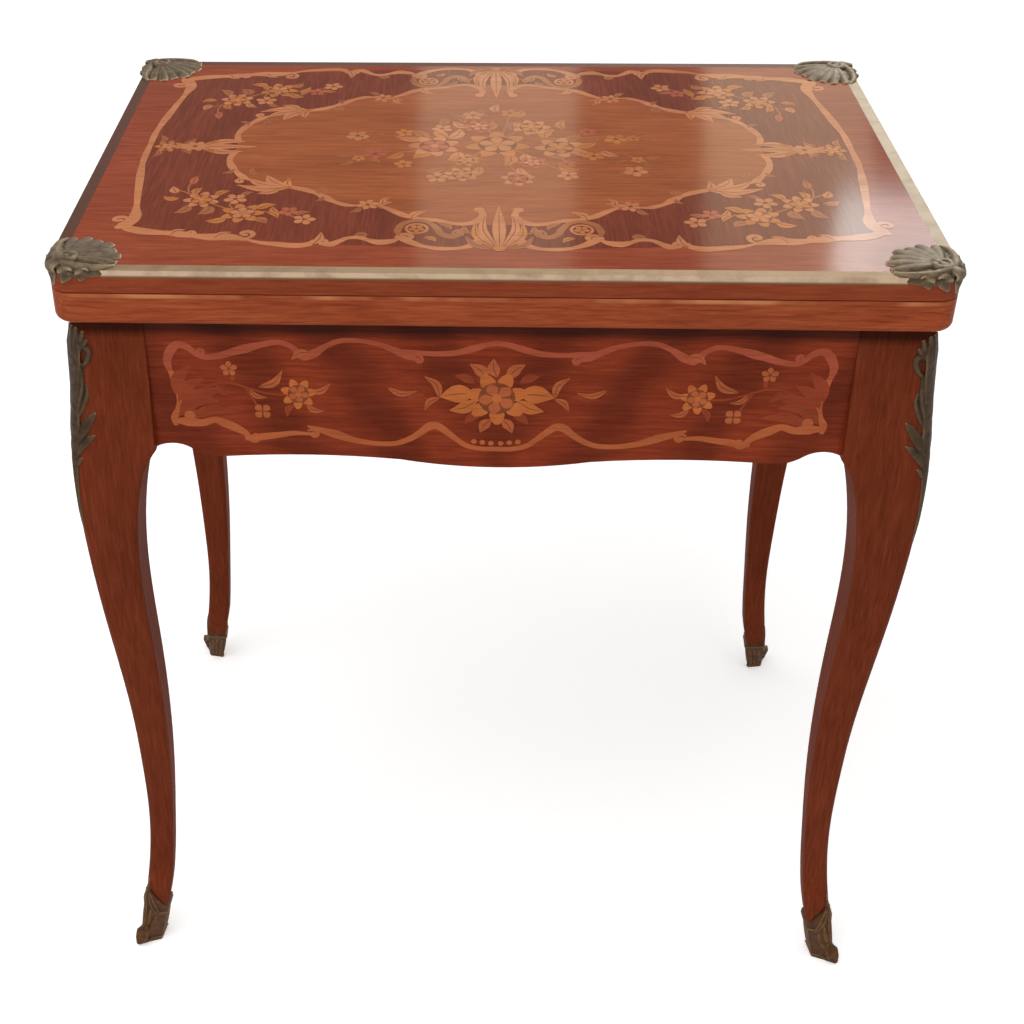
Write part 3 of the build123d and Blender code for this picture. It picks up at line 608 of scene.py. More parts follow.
def pointed_foot(node_name, piece_name, side_x, side_y, material, slot_name):
    """A copy of a leg or a shoe, drawn in across its diagonal toward the floor to a pointed toe."""
    mesh = nodes[node_name].data.copy()
    mesh.name = piece_name
    outward = Vector((side_x, side_y, 0)).normalized()
    across = Vector((side_x, -side_y, 0)).normalized()
    for vertex in mesh.vertices:
        share = min(max(1 - vertex.co.z / (foot_height * MM), 0), 1)
        share = share * share * (3 - 2 * share)
        off = vertex.co - foot_axis(side_x, side_y, vertex.co.z / MM)
        behind = min(off.dot(outward), 0)
        vertex.co -= (across * off.dot(across) * foot_pinch + outward * behind * heel_pinch) * share
    mesh.materials.clear()
    mesh.materials.append(material)
    piece = show(piece_name, mesh)
    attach(piece, "base")
    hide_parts(node_name)
    return mesh


def round_foot(tree, side_x, side_y):
    """A function from (degrees off the outer diagonal, height in mm) to a point on a foot and its normal."""
    outer = math.atan2(side_y, side_x)

    def place(swing, height):
        angle = outer + math.radians(swing) * side_x * side_y
        toward = Vector((math.cos(angle), math.sin(angle), 0))
        axis = foot_axis(side_x, side_y, height)
        hit, normal, _, _ = tree.ray_cast(axis + toward * 0.06, -toward, 0.06)
        if hit is None:
            hit, normal = axis + toward * 0.013, toward
        return hit, (normal + toward * 0.5).normalized()

    return place


def shoe_casting(name, side_x, side_y):
    """Leaf ribs, a rolled rim, a foot moulding and a scrolled toe that dress the shoe of a foot."""
    made = Casting()
    tree = surface_tree(*(
        pointed_foot(solid + name, piece + name, side_x, side_y, material, slot_name)
        for solid, piece, material, slot_name in (
            ("leg_", "pointed_leg_", WOOD_LEG, "frame_wood"),
            ("sabot_", "pointed_shoe_", SHOE_BODY, "patinated_bronze"))))
    at = round_corner(tree, side_x, side_y, 13)
    ring = round_foot(tree, side_x, side_y)
    made.strand(at, [(0, 84), (0, 66), (0, 44), (0, 26), (0, 14)],
            [0.8, 2.2, 3, 3.4, 3], [0.8, 1.8, 2, 2, 1.6], steps=26)
    made.strand(at, [(0, 28), (0, 17), (0, 9), (0, 5)],
            [3, 5.5, 8, 8.4, 6], [1.6, 2.4, 3.4, 2.8, 1.2], sink=6)
    for sign in (1, -1):
        def beside(reach, height):
            return at(sign * reach, height)
        made.strand(beside, [(1, 76), (6, 58), (12, 44), (19, 37)],
                [0.8, 1.5, 1.7, 1.6, 1.2], [1, 1.5, 1.6, 1.4, 1], steps=26)
        for leaflet in ([(2, 20), (6, 34), (8, 46)], [(5, 12), (11, 24), (14, 36)]):
            made.strand(beside, leaflet, [1, 2.4, 2.2, 0.6], [1.2, 1.6, 1.4, 0.6])
        made.strand(beside, [(2, 6), (9, 7), (18, 8)], [1.6, 2, 2, 1.4], [1, 1.4, 1.4, 1], sink=2)
        for swing, height in ((112, 32), (140, 35), (166, 35)):
            made.strand(ring, [(sign * swing, 6), (sign * swing, 20), (sign * swing, height)],
                    [1.2, 2.2, 2.6, 2.2, 0.5], [0.8, 1.3, 1.4, 1.2, 0.5])
    rim = [40] * 7 + [42, 54, 66, 54, 42] + [40] * 6
    made.strand(ring, [(-180 + 360 * k / 17, height) for k, height in enumerate(rim)],
            [1.5, 1.5], [1.3, 1.3], steps=110)
    made.strand(ring, [(-180 + 360 * k / 24, 3.2) for k in range(25)], [2, 2], [0.9, 0.9], steps=110)
    limit = [Vector(corner) * 0.9995 for corner in cad_box]
    return made.make("shoe_casting_" + name, "base", (), 0.6, SHOE_BRONZE, limit)


for name, (side_x, side_y) in CORNERS.items():
    corner_casting(name, side_x, side_y)
    knee_casting(name, side_x, side_y)
    shoe_casting(name, side_x, side_y)


# Marquetry

class Marquetry:
    """Slips of veneer let into one surface. Each is a thin closed prism between a left and a right edge.

    Points are in mm on the surface. Levels count upward; a slip lies higher than the ones it may overlap.
    """

    level_step = 0.08
    slip_rise = 0.08
    level_rise = 0.035
    slip_depth = 0.5
    thinnest = 0.3

    def __init__(self, name, body, slot_name, put):
        self.name, self.body, self.slot_name, self.put = name, body, slot_name, put
        self.slips = {}
        self.flip = (1, 1)
        self.weight = 1.0
        self.laid = []

    def slip(self, timber, left, right, level):
        u, v = self.flip
        rows = [[(p[0] * u, p[1] * v) for p in edge] for edge in (left, right)]
        own_level = self.free_level(rows[0] + rows[1], level)
        self.slips.setdefault(timber.name, (timber, []))[1].append((rows[0], rows[1], own_level))

    def free_level(self, points, level):
        """The first height from a level up at which no slip lies yet that may overlap this one."""
        xs, ys = zip(*points)
        x0, x1, y0, y1 = min(xs), max(xs), min(ys), max(ys)
        taken = {height for (a0, a1, b0, b1), height in self.laid
                 if a0 < x1 and a1 > x0 and b0 < y1 and b1 > y0}
        step = 0
        while round(level + self.level_step * step, 2) in taken:
            step += 1
        height = round(level + self.level_step * step, 2)
        self.laid.append(((x0, x1, y0, y1), height))
        return height

    def ribbon(self, timber, controls, widths, level=2, steps=None):
        """A band along a smooth line, in mm, with widths spread evenly along it."""
        steps = steps or 6 * (len(controls) - 1)
        points = spline(controls, steps)
        left, right = [], []
        for i, (x, y) in enumerate(points):
            ahead, behind = points[min(i + 1, steps)], points[max(i - 1, 0)]
            dx, dy = ahead[0] - behind[0], ahead[1] - behind[1]
            size = math.hypot(dx, dy) or 1
            half = max(along(widths, i / steps) * self.weight, self.thinnest) / 2
            for edge, side in ((left, 1), (right, -1)):
                point = (x - side * dy / size * half, y + side * dx / size * half)
                if edge and (point[0] - edge[-1][0]) * dx + (point[1] - edge[-1][1]) * dy <= 0:
                    point = (edge[-1][0] + 0.004 * dx / size, edge[-1][1] + 0.004 * dy / size)
                edge.append(point)
        self.slip(timber, left, right, level)

    def ribbons(self, *rows):
        for row in rows:
            self.ribbon(*row)

    def leaf(self, timber, start, tip, width, bend=0.18, level=3):
        """A pointed leaf with a curved back and a dark midrib."""
        (x0, y0), (x1, y1) = start, tip
        middle = ((x0 + x1) / 2 - (y1 - y0) * bend, (y0 + y1) / 2 + (x1 - x0) * bend)
        outline = [0.4, width * 0.72, width, width * 0.9, width * 0.5, 0.3]
        self.ribbon(timber, [start, middle, tip], outline, level, 12)
        inner = [start, (middle[0] * 0.98 + x0 * 0.02, middle[1] * 0.98 + y0 * 0.02),
                (x1 * 0.8 + middle[0] * 0.2, y1 * 0.8 + middle[1] * 0.2)]
        self.ribbon(INLAY_SHADE, inner, [0.5, 0.7, 0.3], level + 1, 8)

    def leaves(self, *rows):
        """Leaves, each as a wood, x and y of start and tip, a width, and maybe a bend and a level."""
        for timber, x0, y0, x1, y1, *rest in rows:
            self.leaf(timber, (x0, y0), (x1, y1), *rest)

    def curl(self, timber, x, y, heading, size, turn=1, width=4.0, level=2):
        """A volute that winds in from a point; heading in degrees, turn 1 leftwards or -1 rightwards."""
        angle, points = math.radians(heading), [(x, y)]
        for i in range(11):
            stride = size * 0.4 * 0.87 ** i
            x, y = x + stride * math.cos(angle), y + stride * math.sin(angle)
            points.append((x, y))
            angle += turn * 0.6
        self.ribbon(timber, points, [width * 0.5, width, width * 0.8, width * 0.6], level, 26)
        self.disc(timber, (x, y), width * 0.5 * self.weight, level + 1)

    def curls(self, *rows):
        for row in rows:
            self.curl(*row)

    def disc(self, timber, centre, radius, level=4):
        x, y = centre
        left, right = [], []
        for k in range(9):
            angle = math.pi * k / 8
            reach = max(math.sin(angle), 0.02) * radius
            left.append((x - reach, y - math.cos(angle) * radius))
            right.append((x + reach, y - math.cos(angle) * radius))
        self.slip(timber, left, right, level)

    def ring(self, timber, centre, radius, width, level=3):
        angles = [2 * math.pi * k / 12 for k in range(13)]
        circle = [(centre[0] + radius * math.cos(a), centre[1] + radius * math.sin(a)) for a in angles]
        self.ribbon(timber, circle, [width, width], level, 36)

    def flower(self, timber, centre, radius, petals=5, turn=0.3, level=4):
        """Separate rounded petals with dark gaps round a small heart."""
        x, y = centre
        for k in range(petals):
            angle = turn + 2 * math.pi * k / petals
            c, s = math.cos(angle), math.sin(angle)
            petal = [(x + c * radius * share, y + s * radius * share) for share in (0.18, 0.62, 1)]
            width = radius * 3.1 / petals / self.weight
            widths = [width * share for share in (0.3, 0.8, 1.15, 0.95, 0.35)]
            self.ribbon(timber, petal, widths, level, 8)
        self.disc(INLAY_SHADE, centre, radius * 0.2, level + 1)

    def rose(self, outer, inner, centre, radius, turn=0.2, level=4):
        """A full bloom: a crown of broad petals, a smaller crown on it and a closed heart."""
        self.flower(outer, centre, radius, 7, turn, level)
        self.disc(INLAY_SHADE, centre, radius * 0.6, level + 1)
        self.flower(inner, centre, radius * 0.57, 5, turn + 0.5, level + 2)
        self.disc(outer, centre, radius * 0.16, level + 4)

    def make(self):
        """One piece for each wood."""
        for wood_name, (timber, slips) in self.slips.items():
            builder = bmesh.new()
            for left, right, level in slips:
                rise = self.slip_rise + self.level_rise * level
                top_left, top_right, low_left, low_right = (
                    [builder.verts.new(self.put(x, y, h) * MM) for x, y in edge]
                    for h in (rise, -self.slip_depth) for edge in (left, right))
                loop = (top_left, top_right, low_right, low_left, top_left)
                last = len(left) - 1
                made = [builder.faces.new((a[i], b[i], b[i + 1], a[i + 1]))
                        for i in range(last) for a, b in zip(loop, loop[1:])]
                for i in (0, last):
                    made.append(builder.faces.new((top_left[i], top_right[i], low_right[i], low_left[i])))
                bmesh.ops.recalc_face_normals(builder, faces=made)
            mesh = bpy.data.meshes.new(self.name + "_" + wood_name)
            builder.to_mesh(mesh)
            builder.free()
            mesh.materials.append(timber)
            piece = show(mesh.name, mesh)
            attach(piece, self.body)


TOP_WOODS = (INLAY_LIGHT, INLAY_ROSE, INLAY_AMBER, INLAY_LEAF)
FLIPS = ((1, 1), (-1, 1), (1, -1), (-1, -1))
field_middle = 12
frieze_depth = 128.6
frieze_base = round(top_of_frame / MM - frieze_depth, 1)


def panel(work, timber, profile, level):
    """A symmetric field between -half and half widths, given as (distance from the middle, half width)."""
    rows = [(-v, w) for v, w in reversed(profile[1:])] + list(profile)
    work.slip(timber, [(-w, v) for v, w in rows], [(w, v) for v, w in rows], level)


def top_quarter(work):
    """A quarter of the scrollwork on the top, in mm from its middle to the side and to the front."""
    light, rose, amber, leaf = TOP_WOODS
    work.ribbons(
        (light, [(311, 0), (311, 28), (309, 52), (304, 92), (299, 127), (297, 147), (302, 160), (309, 167)],
            [4, 5, 4, 6, 5, 4, 8, 9, 10, 3]),
        (light, [(307, 160), (296, 168), (280, 173), (262, 175), (248, 178), (232, 181), (215, 181),
            (198, 186)], [2, 8, 9, 6, 9, 6, 10, 9, 2]))
    work.leaves((light, 226, 183, 214, 172, 5), (light, 262, 178, 252, 168, 5))
    work.curls(
        (light, 303, 158, 250, 13, 1, 4), (light, 204, 184, 200, 13, 1, 4), (light, 252, 178, 160, 9, 1, 3),
        (light, 147, 190, 250, 10, -1, 3.4), (light, 82, 180, 250, 12, -1, 4),
        (leaf, 112, 181, 300, 9, -1, 3))
    work.ribbon(light, [(204, 183), (190, 190), (175, 193), (160, 195), (150, 192), (146, 185)],
        [2, 4, 6, 7, 6, 3])
    work.leaf(light, (147, 193), (142, 171), 6, -0.1)
    work.ribbons(
        (light, [(142, 192), (133, 192), (127, 187), (120, 181), (111, 180), (104, 184), (95, 188), (86, 186),
            (79, 181)], [2, 7, 5, 4, 5, 4, 8, 6, 2]),
        (light, [(80, 175), (75, 182), (68, 189), (58, 195), (46, 198), (32, 197), (22, 192), (16, 184),
            (15, 177)], [3, 7, 6, 4, 5, 4, 6, 8, 4]))
    work.disc(light, (15, 178), 4.6)
    work.ribbon(leaf, [(80, 176), (81, 166), (77, 154), (66, 148), (56, 152), (50, 162), (46, 172), (38, 177),
        (31, 171), (34, 164)], [2, 5, 5, 4, 4, 5, 5, 6, 5, 3])
    work.curl(leaf, 35, 166, 60, 9, 1, 3)
    work.ring(light, (66, 163), 8.5, 2.0)
    work.flower(amber, (66, 163), 6.6, 5)
    work.ribbon(light, [(99, 120), (88, 129), (78, 138), (66, 144), (52, 147), (40, 152), (28, 154),
        (18, 148), (13, 138), (15, 128)], [2, 5, 6, 4, 5, 4, 5, 6, 5, 4])
    work.disc(light, (16, 127), 4.4)
    work.leaves(
        (light, 72, 146, 59, 130, 6), (leaf, 50, 152, 38, 164, 5), (leaf, 28, 158, 22, 172, 5, -0.2),
        (amber, 60, 178, 50, 186, 5))
    work.flower(light, (108, 119), 9.5, 6)
    work.leaves((light, 100, 122, 88, 114, 5), (leaf, 114, 124, 122, 134, 5))
    work.ribbon(light, [(116, 121), (126, 120), (136, 114), (144, 106), (152, 98), (162, 91), (174, 86),
        (184, 82)], [2, 5, 4, 7, 4, 6, 5, 3])
    work.leaf(leaf, (146, 104), (152, 113), 4)
    work.leaves((light, 174, 86, 222, 82, 9, 0.12), (light, 180, 84, 198, 62, 9, 0.12),
        (light, 186, 84, 214, 68, 8, 0.12), (light, 184, 88, 202, 99, 7, 0.12),
        (light, 176, 86, 178, 68, 6, 0.12))
    work.curls((light, 214, 71, 330, 9, 1, 3), (leaf, 150, 98, 300, 9, -1, 3))
    work.disc(amber, (180, 84), 3.4, 5)
    work.ribbon(light, [(212, 72), (219, 65), (225, 56), (231, 44), (235, 30), (234, 18), (231, 9)],
        [2, 6, 4, 6, 4, 5, 4])
    work.leaves((leaf, 228, 50, 238, 58, 4), (leaf, 206, 62, 212, 44, 4))
    work.ribbons(
        (leaf, [(160, 147), (176, 138), (192, 134), (210, 136), (228, 126), (246, 112), (262, 98), (272, 92)],
            [1.2, 1.6, 1.6, 1.4]),
        (leaf, [(260, 99), (262, 86), (259, 70)], [1.4, 1.4, 1]),
        (leaf, [(214, 136), (222, 122), (219, 112)], [1.4, 1.4, 1]))
    work.rose(light, amber, (247, 112), 15.5, 0.1)
    work.rose(amber, light, (210, 137), 18, 0.5)
    work.flower(light, (219, 110), 10, 5)
    work.flower(rose, (172, 133), 8.5, 5)
    work.flower(light, (158, 148), 9.5, 5, 0.7)
    work.leaves((light, 270, 100, 275, 86, 7, 0.05), (rose, 259, 82, 258, 64, 6, 0.05))
    for x0, y0, x1, y1, width in ((238, 124, 246, 140, 7), (256, 122, 266, 138, 6), (236, 104, 226, 94, 5),
            (254, 102, 250, 88, 5), (198, 130, 184, 120, 6), (200, 147, 188, 156, 6), (222, 146, 238, 152, 6),
            (190, 134, 180, 146, 4), (166, 140, 154, 134, 4), (180, 136, 186, 124, 4),
            (266, 110, 280, 106, 5), (214, 104, 206, 96, 4)):
        work.leaf(amber if (x0 + y0) % 4 < 2 else leaf, (x0, y0), (x1, y1), width * 1.3)
    work.flower(amber, (122, 24), 6.5, 5)
    work.leaves((leaf, 126, 28, 138, 38, 4.5), (leaf, 116, 26, 102, 34, 4.5), (leaf, 128, 20, 142, 14, 4.5))
    work.ribbon(leaf, [(122, 24), (112, 12), (98, 8)], [1.4, 1.2, 1])
    work.leaf(light, (96, 118), (90, 104), 4)


def top_axes(work):
    """What lies on the two middle lines: a palmette in front and behind, and a clasp at each side."""
    light, _, amber, leaf = TOP_WOODS
    for flip_v in (1, -1):
        work.flip = (1, flip_v)
        work.leaf(light, (0, 199), (0, 120), 9, 0)
        for sign in (1, -1):
            work.leaves(
                (light, sign * 2, 196, sign * 11, 132, 6, sign * 0.1),
                (amber, sign * 3, 198, sign * 19, 148, 6, sign * 0.14),
                (leaf, sign * 4, 199, sign * 27, 176, 6, sign * 0.16))
        work.disc(amber, (0, 197), 5, 6)
    for flip_u in (1, -1):
        work.flip = (flip_u, 1)
        work.leaf(light, (306, 0), (214, 0), 11, 0, 2)
        work.rose(amber, light, (294, 0), 12.5, 0.1)
        work.flower(light, (270, 0), 11, 6, 0)
        for sign in (1, -1):
            work.leaves(
                (light, 262, sign * 2, 226, sign * 11, 9, -sign * 0.14),
                (leaf, 282, sign * 8, 272, sign * 18, 5, sign * 0.2),
                (leaf, 302, sign * 8, 304, sign * 24, 5, sign * 0.2),
                (amber, 262, sign * 8, 250, sign * 16, 4, sign * 0.2))
    work.flip = (1, 1)


def bouquet(work):
    """The flowers in the middle of the top, laid out one by one."""
    light, rose, amber, leaf = TOP_WOODS
    stems = [[(0, -20), (-18, -14), (-40, -8), (-58, -6)], [(0, -20), (22, -14), (42, -8), (56, -4)],
        [(4, -20), (16, -36), (30, -48)], [(0, -20), (-10, -44), (-22, -66), (-22, -78)], [(2, -20), (8, -50),
        (12, -82)], [(0, -10), (-14, 20), (-30, 52)], [(0, -10), (8, 24), (16, 60)], [(4, -8), (34, 24),
        (60, 56)], [(40, -8), (66, 2), (84, 14)], [(-40, -8), (-72, 0), (-108, 12)], [(-4, -8), (-30, 30),
        (-52, 62)], [(30, -20), (70, -24), (106, -22)], [(-30, -20), (-80, -26), (-126, -26)]]
    for stem in stems:
        work.ribbon(leaf, stem, [2, 1.8, 1.2], 2)
    sprays = [(-64, -16, -80, -40), (-44, -22, -52, -46), (-44, -20, -34, -44), (-70, -2, -90, 6),
        (-56, 12, -74, 24), (-34, 8, -44, 28), (-22, 14, -16, 36), (10, 14, 6, 38), (24, 12, 34, 32),
        (40, 12, 58, 26), (66, -6, 88, -14), (62, 6, 82, 20), (56, -18, 74, -34), (42, -22, 52, -44),
        (26, -32, 40, -58), (14, -40, 22, -64), (-12, -40, -4, -62), (-24, -46, -40, -62),
        (-30, -56, -44, -80), (-16, 40, -26, 62), (18, 42, 30, 62), (-46, 42, -66, 52), (52, 38, 70, 46),
        (-62, -20, -92, -26), (70, -22, 96, -30), (-84, 10, -98, 24), (92, 4, 106, 16), (-8, -70, -14, -92),
        (14, -72, 24, -90), (0, -84, 2, -104), (-52, -52, -50, -70), (60, -44, 62, -66)]
    for index, (x0, y0, x1, y1) in enumerate(sprays):
        work.leaf((leaf, amber, light)[index % 3], (x0, y0), (x1, y1), 10 if index < 16 else 8,
            0.16 * (-1) ** index)
    for x, y, radius, tones in ((0, -8, 29, (amber, light)), (-56, -4, 23, (light, rose)),
            (55, -2, 22, (light, amber)), (31, -48, 18, (light, amber)), (-31, 57, 15, (light, amber)),
            (17, 65, 15, (light, rose)), (-16, -49, 15, (rose, light)), (30, 31, 13, (rose, light)),
            (-28, 27, 13, (amber, light))):
        work.rose(tones[0], tones[1], (x, y), radius, 0.1 * radius)
    for x, y, radius, tone in ((-22, -76, 8.5, light), (12, -82, 7.5, amber), (60, 58, 8, light),
            (84, 16, 8, amber), (-108, 14, 9, rose), (-52, 64, 8.5, light), (106, -22, 9, amber),
            (-126, -26, 9, light), (118, 48, 9, light), (-84, -34, 7, amber), (82, -38, 7, rose),
            (-82, 36, 7, amber), (-50, -44, 8, light), (60, 34, 7, rose)):
        work.flower(tone, (x, y), radius * 1.2, 5, radius)
    for x, y in ((-128, -24), (118, 48)):
        work.leaves((leaf, x + 4, y - 4, x + 16, y - 16, 4), (leaf, x - 4, y + 4, x - 16, y + 8, 4))


def on_top(x, y, height):
    return Vector((x, field_middle - y, leaf_top + height))


corner_profile = [(0, 309), (52, 307), (92, 302), (127, 297), (147, 295), (162, 300), (170, 290), (178, 246),
    (184, 198), (190, 156), (194, 100), (196, 40)]
cartouche_profile = [(0, 232), (18, 234), (30, 234), (44, 230), (56, 224), (72, 212), (82, 186), (91, 162),
    (98, 152), (106, 144), (114, 136), (119, 118), (129, 88), (138, 78), (144, 66), (147, 52), (153, 30),
    (155, 14)]
top_work = Marquetry("top", "upper_leaf_body", "top_wood", on_top)
panel(top_work, WOOD_CORNER, corner_profile, 0)
panel(top_work, WOOD_CARTOUCHE, cartouche_profile, 1)
top_work.weight = 1.25
for flip in FLIPS:
    top_work.flip = flip
    top_quarter(top_work)
top_work.flip = (1, 1)
top_axes(top_work)
bouquet(top_work)
top_work.make()


def frieze_half(work, reach):
    """Half of the cartouche on an apron; reach is its length as a share of the front's."""
    light, rose, pink = FRIEZE_LIGHT, FRIEZE_ROSE, FRIEZE_PINK

    def at(*points):
        return [(x * reach, z) for x, z in points]

    work.ribbons(
        (pink, at((262, 82), (264, 94), (260, 104), (254, 109), (246, 106), (240, 100)), [3, 6, 7, 6, 5, 3]),
        (pink, at((248, 106), (236, 98), (222, 99), (210, 103), (200, 106), (190, 109), (175, 112),
            (165, 109), (159, 103), (156, 98)), [2, 4, 5, 6, 7, 5, 4, 4, 5, 4]))
    work.leaf(light, (149 * reach, 103), (164 * reach, 96), 6)
    work.ribbons(
        (pink, at((156, 97), (146, 102), (136, 109), (124, 114), (108, 114), (94, 111), (82, 106), (72, 101),
            (62, 97)), [4, 7, 4, 4, 3.5, 4, 5, 6, 1.5]),
        (pink, at((80, 106), (66, 104), (50, 103), (34, 104), (20, 108), (8, 112), (0, 113)),
            [2, 4, 4, 4.5, 5.5, 4, 4]),
        (light, at((262, 84), (259, 72), (256, 60), (258, 48), (263, 40), (262, 32)), [4, 5, 6, 6, 5, 3]),
        (light, at((264, 37), (252, 36), (240, 35), (230, 38), (222, 35), (214, 31), (206, 26), (200, 19)),
            [3, 8, 6, 5, 7, 7, 5, 3]))
    work.curls(
        (light, 204 * reach, 23, 250, 9 * reach, -1, 3.4), (light, 154 * reach, 28, 150, 8 * reach, 1, 3),
        (pink, 158 * reach, 100, 230, 8 * reach, -1, 3), (pink, 66 * reach, 101, 170, 7 * reach, 1, 2.6),
        (pink, 243 * reach, 102, 230, 8 * reach, -1, 3))
    work.ribbons(
        (light, at((206, 20), (192, 22), (178, 24), (164, 26), (148, 25)), [3, 6, 5, 4, 2]),
        (light, at((154, 33), (142, 29), (130, 25), (116, 20), (100, 17), (84, 17), (72, 21), (62, 28),
            (55, 34), (48, 35), (40, 29), (32, 22), (24, 16), (12, 13), (0, 13)),
            [1.5, 5, 7, 5, 4, 4, 4.5, 5, 6.5, 6, 5, 4, 4, 4, 4]))
    for x0, z0, x1, z1, width in ((259, 41, 220, 69, 13), (257, 50, 224, 56, 10), (252, 39, 210, 46, 9),
            (258, 56, 236, 78, 10), (260, 62, 246, 90, 10), (258, 44, 238, 40, 7)):
        work.leaf(rose, (x0 * reach, z0), (x1 * reach, z1), width, -0.12)
    work.disc(light, (250 * reach, 42), 4.6, 5)
    if reach > 0.9:
        work.ribbons(
            (rose, [(240, 66), (226, 73), (212, 73), (198, 68), (184, 64), (168, 63)], [2, 1.6, 1.8, 1.4]),
            (rose, [(192, 48), (197, 58), (203, 69)], [1.4, 1.6, 1.4]))
        work.flower(light, (215, 87), 7, 5)
        work.leaves((rose, 214, 74, 214, 84, 3), (light, 192, 70, 172, 86, 6), (light, 200, 68, 186, 60, 4))
        work.flower(light, (190, 47), 7.5, 4, 0.8)
        work.leaf(rose, (226, 73), (216, 62), 4)
    spread = 1 if reach > 0.9 else 0.64
    x = 160 * spread
    work.rose(FRIEZE_BLOOM, light, (x, 64), 14.5, 0.3)
    work.leaves(
        (light, x - 8, 66, x - 26, 74, 5), (light, x - 6, 54, x - 20, 48, 4.5),
        (rose, x + 4, 54, x + 10, 42, 5))
    x = 66 * spread
    work.leaves(
        (light, x + 22, 71, x - 2, 68, 5), (light, x - 20, 62, x - 8, 82, 6),
        (light, x - 20, 62, x - 8, 50, 5), (rose, x - 8, 64, x + 8, 58, 4))


def frieze_middle(work):
    """The bloom in the middle of an apron, between its buds, over a row of pearls."""
    light, rose, bloom = FRIEZE_LIGHT, FRIEZE_ROSE, FRIEZE_BLOOM
    for sign in (1, -1):
        work.leaves(
            (bloom, sign * 18, 66, sign * 46, 63, 15, sign * 0.05),
            (bloom, sign * 16, 60, sign * 38, 50, 10, -sign * 0.1),
            (light, sign * 8, 80, sign * 22, 94, 9, sign * 0.1),
            (light, sign * 4, 42, sign * 13, 29, 8, sign * 0.1),
            (rose, sign * 18, 76, sign * 34, 83, 7, sign * 0.1),
            (rose, sign * 12, 48, sign * 26, 37, 7, sign * 0.1))
        for step in range(3):
            work.disc(light, (sign * (4 + 7 * step), 18.5 + 0.9 * step), 2.3, 4)
    work.leaf(light, (0, 82), (-3, 99), 9, 0.1)
    work.rose(bloom, light, (0, 62), 25, 0.25)


def frieze(side, put, reach):
    work = Marquetry("frieze_" + side, "base", "frame_wood", put)
    work.weight = 1.15
    for flip_u in (1, -1):
        work.flip = (flip_u, 1)
        frieze_half(work, reach)
    work.flip = (1, 1)
    frieze_middle(work)
    work.make()


face_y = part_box("apron_back")[1].y / MM
face_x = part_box("apron_right")[1].x / MM
frieze("front", lambda x, z, h: Vector((x, -face_y - h, frieze_base + z)), 1)
frieze("back", lambda x, z, h: Vector((x, face_y + h, frieze_base + z)), 1)
frieze("left", lambda y, z, h: Vector((-face_x - h, y, frieze_base + z)), 0.56)
frieze("right", lambda y, z, h: Vector((face_x + h, y, frieze_base + z)), 0.56)


# Stage, light and camera

def light(name, where, target, size, watts, colour=(1, 1, 1), only_shine=False, roll=0.0):
    data = bpy.data.lights.new(name, "AREA")
    data.shape = "RECTANGLE"
    data.size, data.size_y = size
    data.energy = watts
    data.color = colour
    made = show(name, data)
    made.location = where
    aim = (Vector(target) - Vector(where)).to_track_quat("-Z", "Y")
    made.rotation_euler = (aim @ Quaternion((0, 0, 1), roll)).to_euler()
    made.visible_diffuse = not only_shine


def seen_directly(tree):
    """An output that is 1 for camera, glossy and transmission rays and 0 for light on the object."""
    path = tree.nodes.new("ShaderNodeLightPath")
    total = path.outputs["Is Camera Ray"]
    for name in ("Is Glossy Ray", "Is Transmission Ray"):
        either = tree.nodes.new("ShaderNodeMath")
        either.operation = "MAXIMUM"
        tree.links.new(total, either.inputs[0])
        tree.links.new(path.outputs[name], either.inputs[1])
        total = either.outputs[0]
    return total


floor_mesh = bpy.data.meshes.new("floor")
floor_reach = 14
floor_corners = [(x * floor_reach, y * floor_reach, 0) for x, y in ((-1, -1), (1, -1), (1, 1), (-1, 1))]
floor_mesh.from_pydata(floor_corners, [], [(0, 1, 2, 3)])
floor = show("floor", floor_mesh)
floor_shader = Shader("studio_floor", roughness=0.9, specular=0.1)
paper = floor_shader.noise(3, 2)
paper_tones = [(0.3, (0.90, 0.90, 0.895, 1)), (0.7, (0.93, 0.93, 0.925, 1))]
floor_shader.set("Base Color", floor_shader.ramp(paper, paper_tones))
floor_shader.set("Emission Color", (1, 1, 1, 1))
floor_glow = floor_shader.math("MULTIPLY", seen_directly(floor_shader.tree), 0.40)
floor_shader.set("Emission Strength", floor_glow)
floor_mesh.materials.append(floor_shader.material)

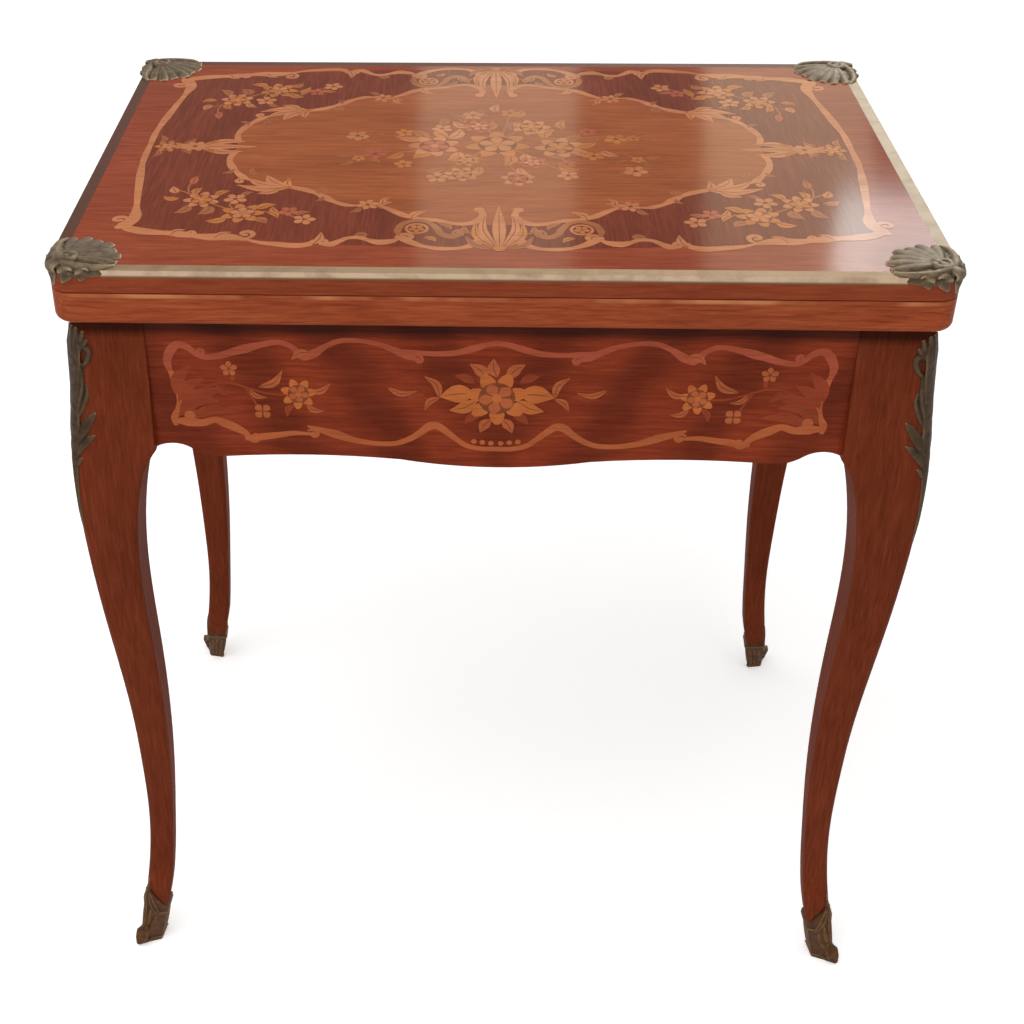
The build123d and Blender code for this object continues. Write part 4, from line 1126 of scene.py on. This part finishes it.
world = bpy.data.worlds.new("studio")
world.use_nodes = True
bpy.context.scene.world = world
background = world.node_tree.nodes["Background"]
level = world.node_tree.nodes.new("ShaderNodeMapRange")
level.inputs["To Min"].default_value = 0.62
level.inputs["To Max"].default_value = 1.0
world.node_tree.links.new(seen_directly(world.node_tree), level.inputs["Value"])
world.node_tree.links.new(level.outputs["Result"], background.inputs["Strength"])
background.inputs["Color"].default_value = (1, 1, 1, 1)

light("overhead", (-0.7, -0.9, 2.9), (0, 0, 0.6), (2.6, 2.6), 42)
light("window", (0.067, 4.0, 2.6), (0.0, 0.0, 0.8), (0.574, 1.9), 14, (1, 0.9, 0.66), True)
light("window_right", (1.72, 3.0, 2.97), (0.2, -0.1, 0.8), (1.22, 1.4), 118, (0.93, 1, 0.98), True, 0.16)
light("curtain_right", (0.98, 3.1, 2.6), (0.1, 0.0, 0.8), (0.52, 1.9), 17.5, (1, 0.86, 0.6), True, 0.16)

# The camera that was fitted to the photograph, in its pixels, degrees and metres.
picture_side = 1024
focal_length = 1556.2
centre_x, centre_y = 406.7, 398.9
yaw, pitch, roll = (math.radians(a) for a in (-2.737, 32.265, -0.726))
camera_place = (-0.0219, -1.2770, 1.3303)

camera_data = bpy.data.cameras.new("camera")
camera_data.sensor_width = 36
camera_data.lens = focal_length / picture_side * camera_data.sensor_width
camera_data.shift_x = 0.5 - centre_x / picture_side
camera_data.shift_y = centre_y / picture_side - 0.5
camera_data.clip_end = 60
camera = show("camera", camera_data)
forward = Vector((math.sin(yaw) * math.cos(pitch), math.cos(yaw) * math.cos(pitch), -math.sin(pitch)))
right = Vector((math.cos(yaw), -math.sin(yaw), 0))
up = right.cross(forward)
turned_right = right * math.cos(roll) + up * math.sin(roll)
turned_up = up * math.cos(roll) - right * math.sin(roll)
facing = Matrix((turned_right, turned_up, -forward)).transposed().to_4x4()
camera.matrix_world = Matrix.Translation(camera_place) @ facing
bpy.context.scene.camera = camera
bpy.context.scene.view_settings.view_transform = "Standard"
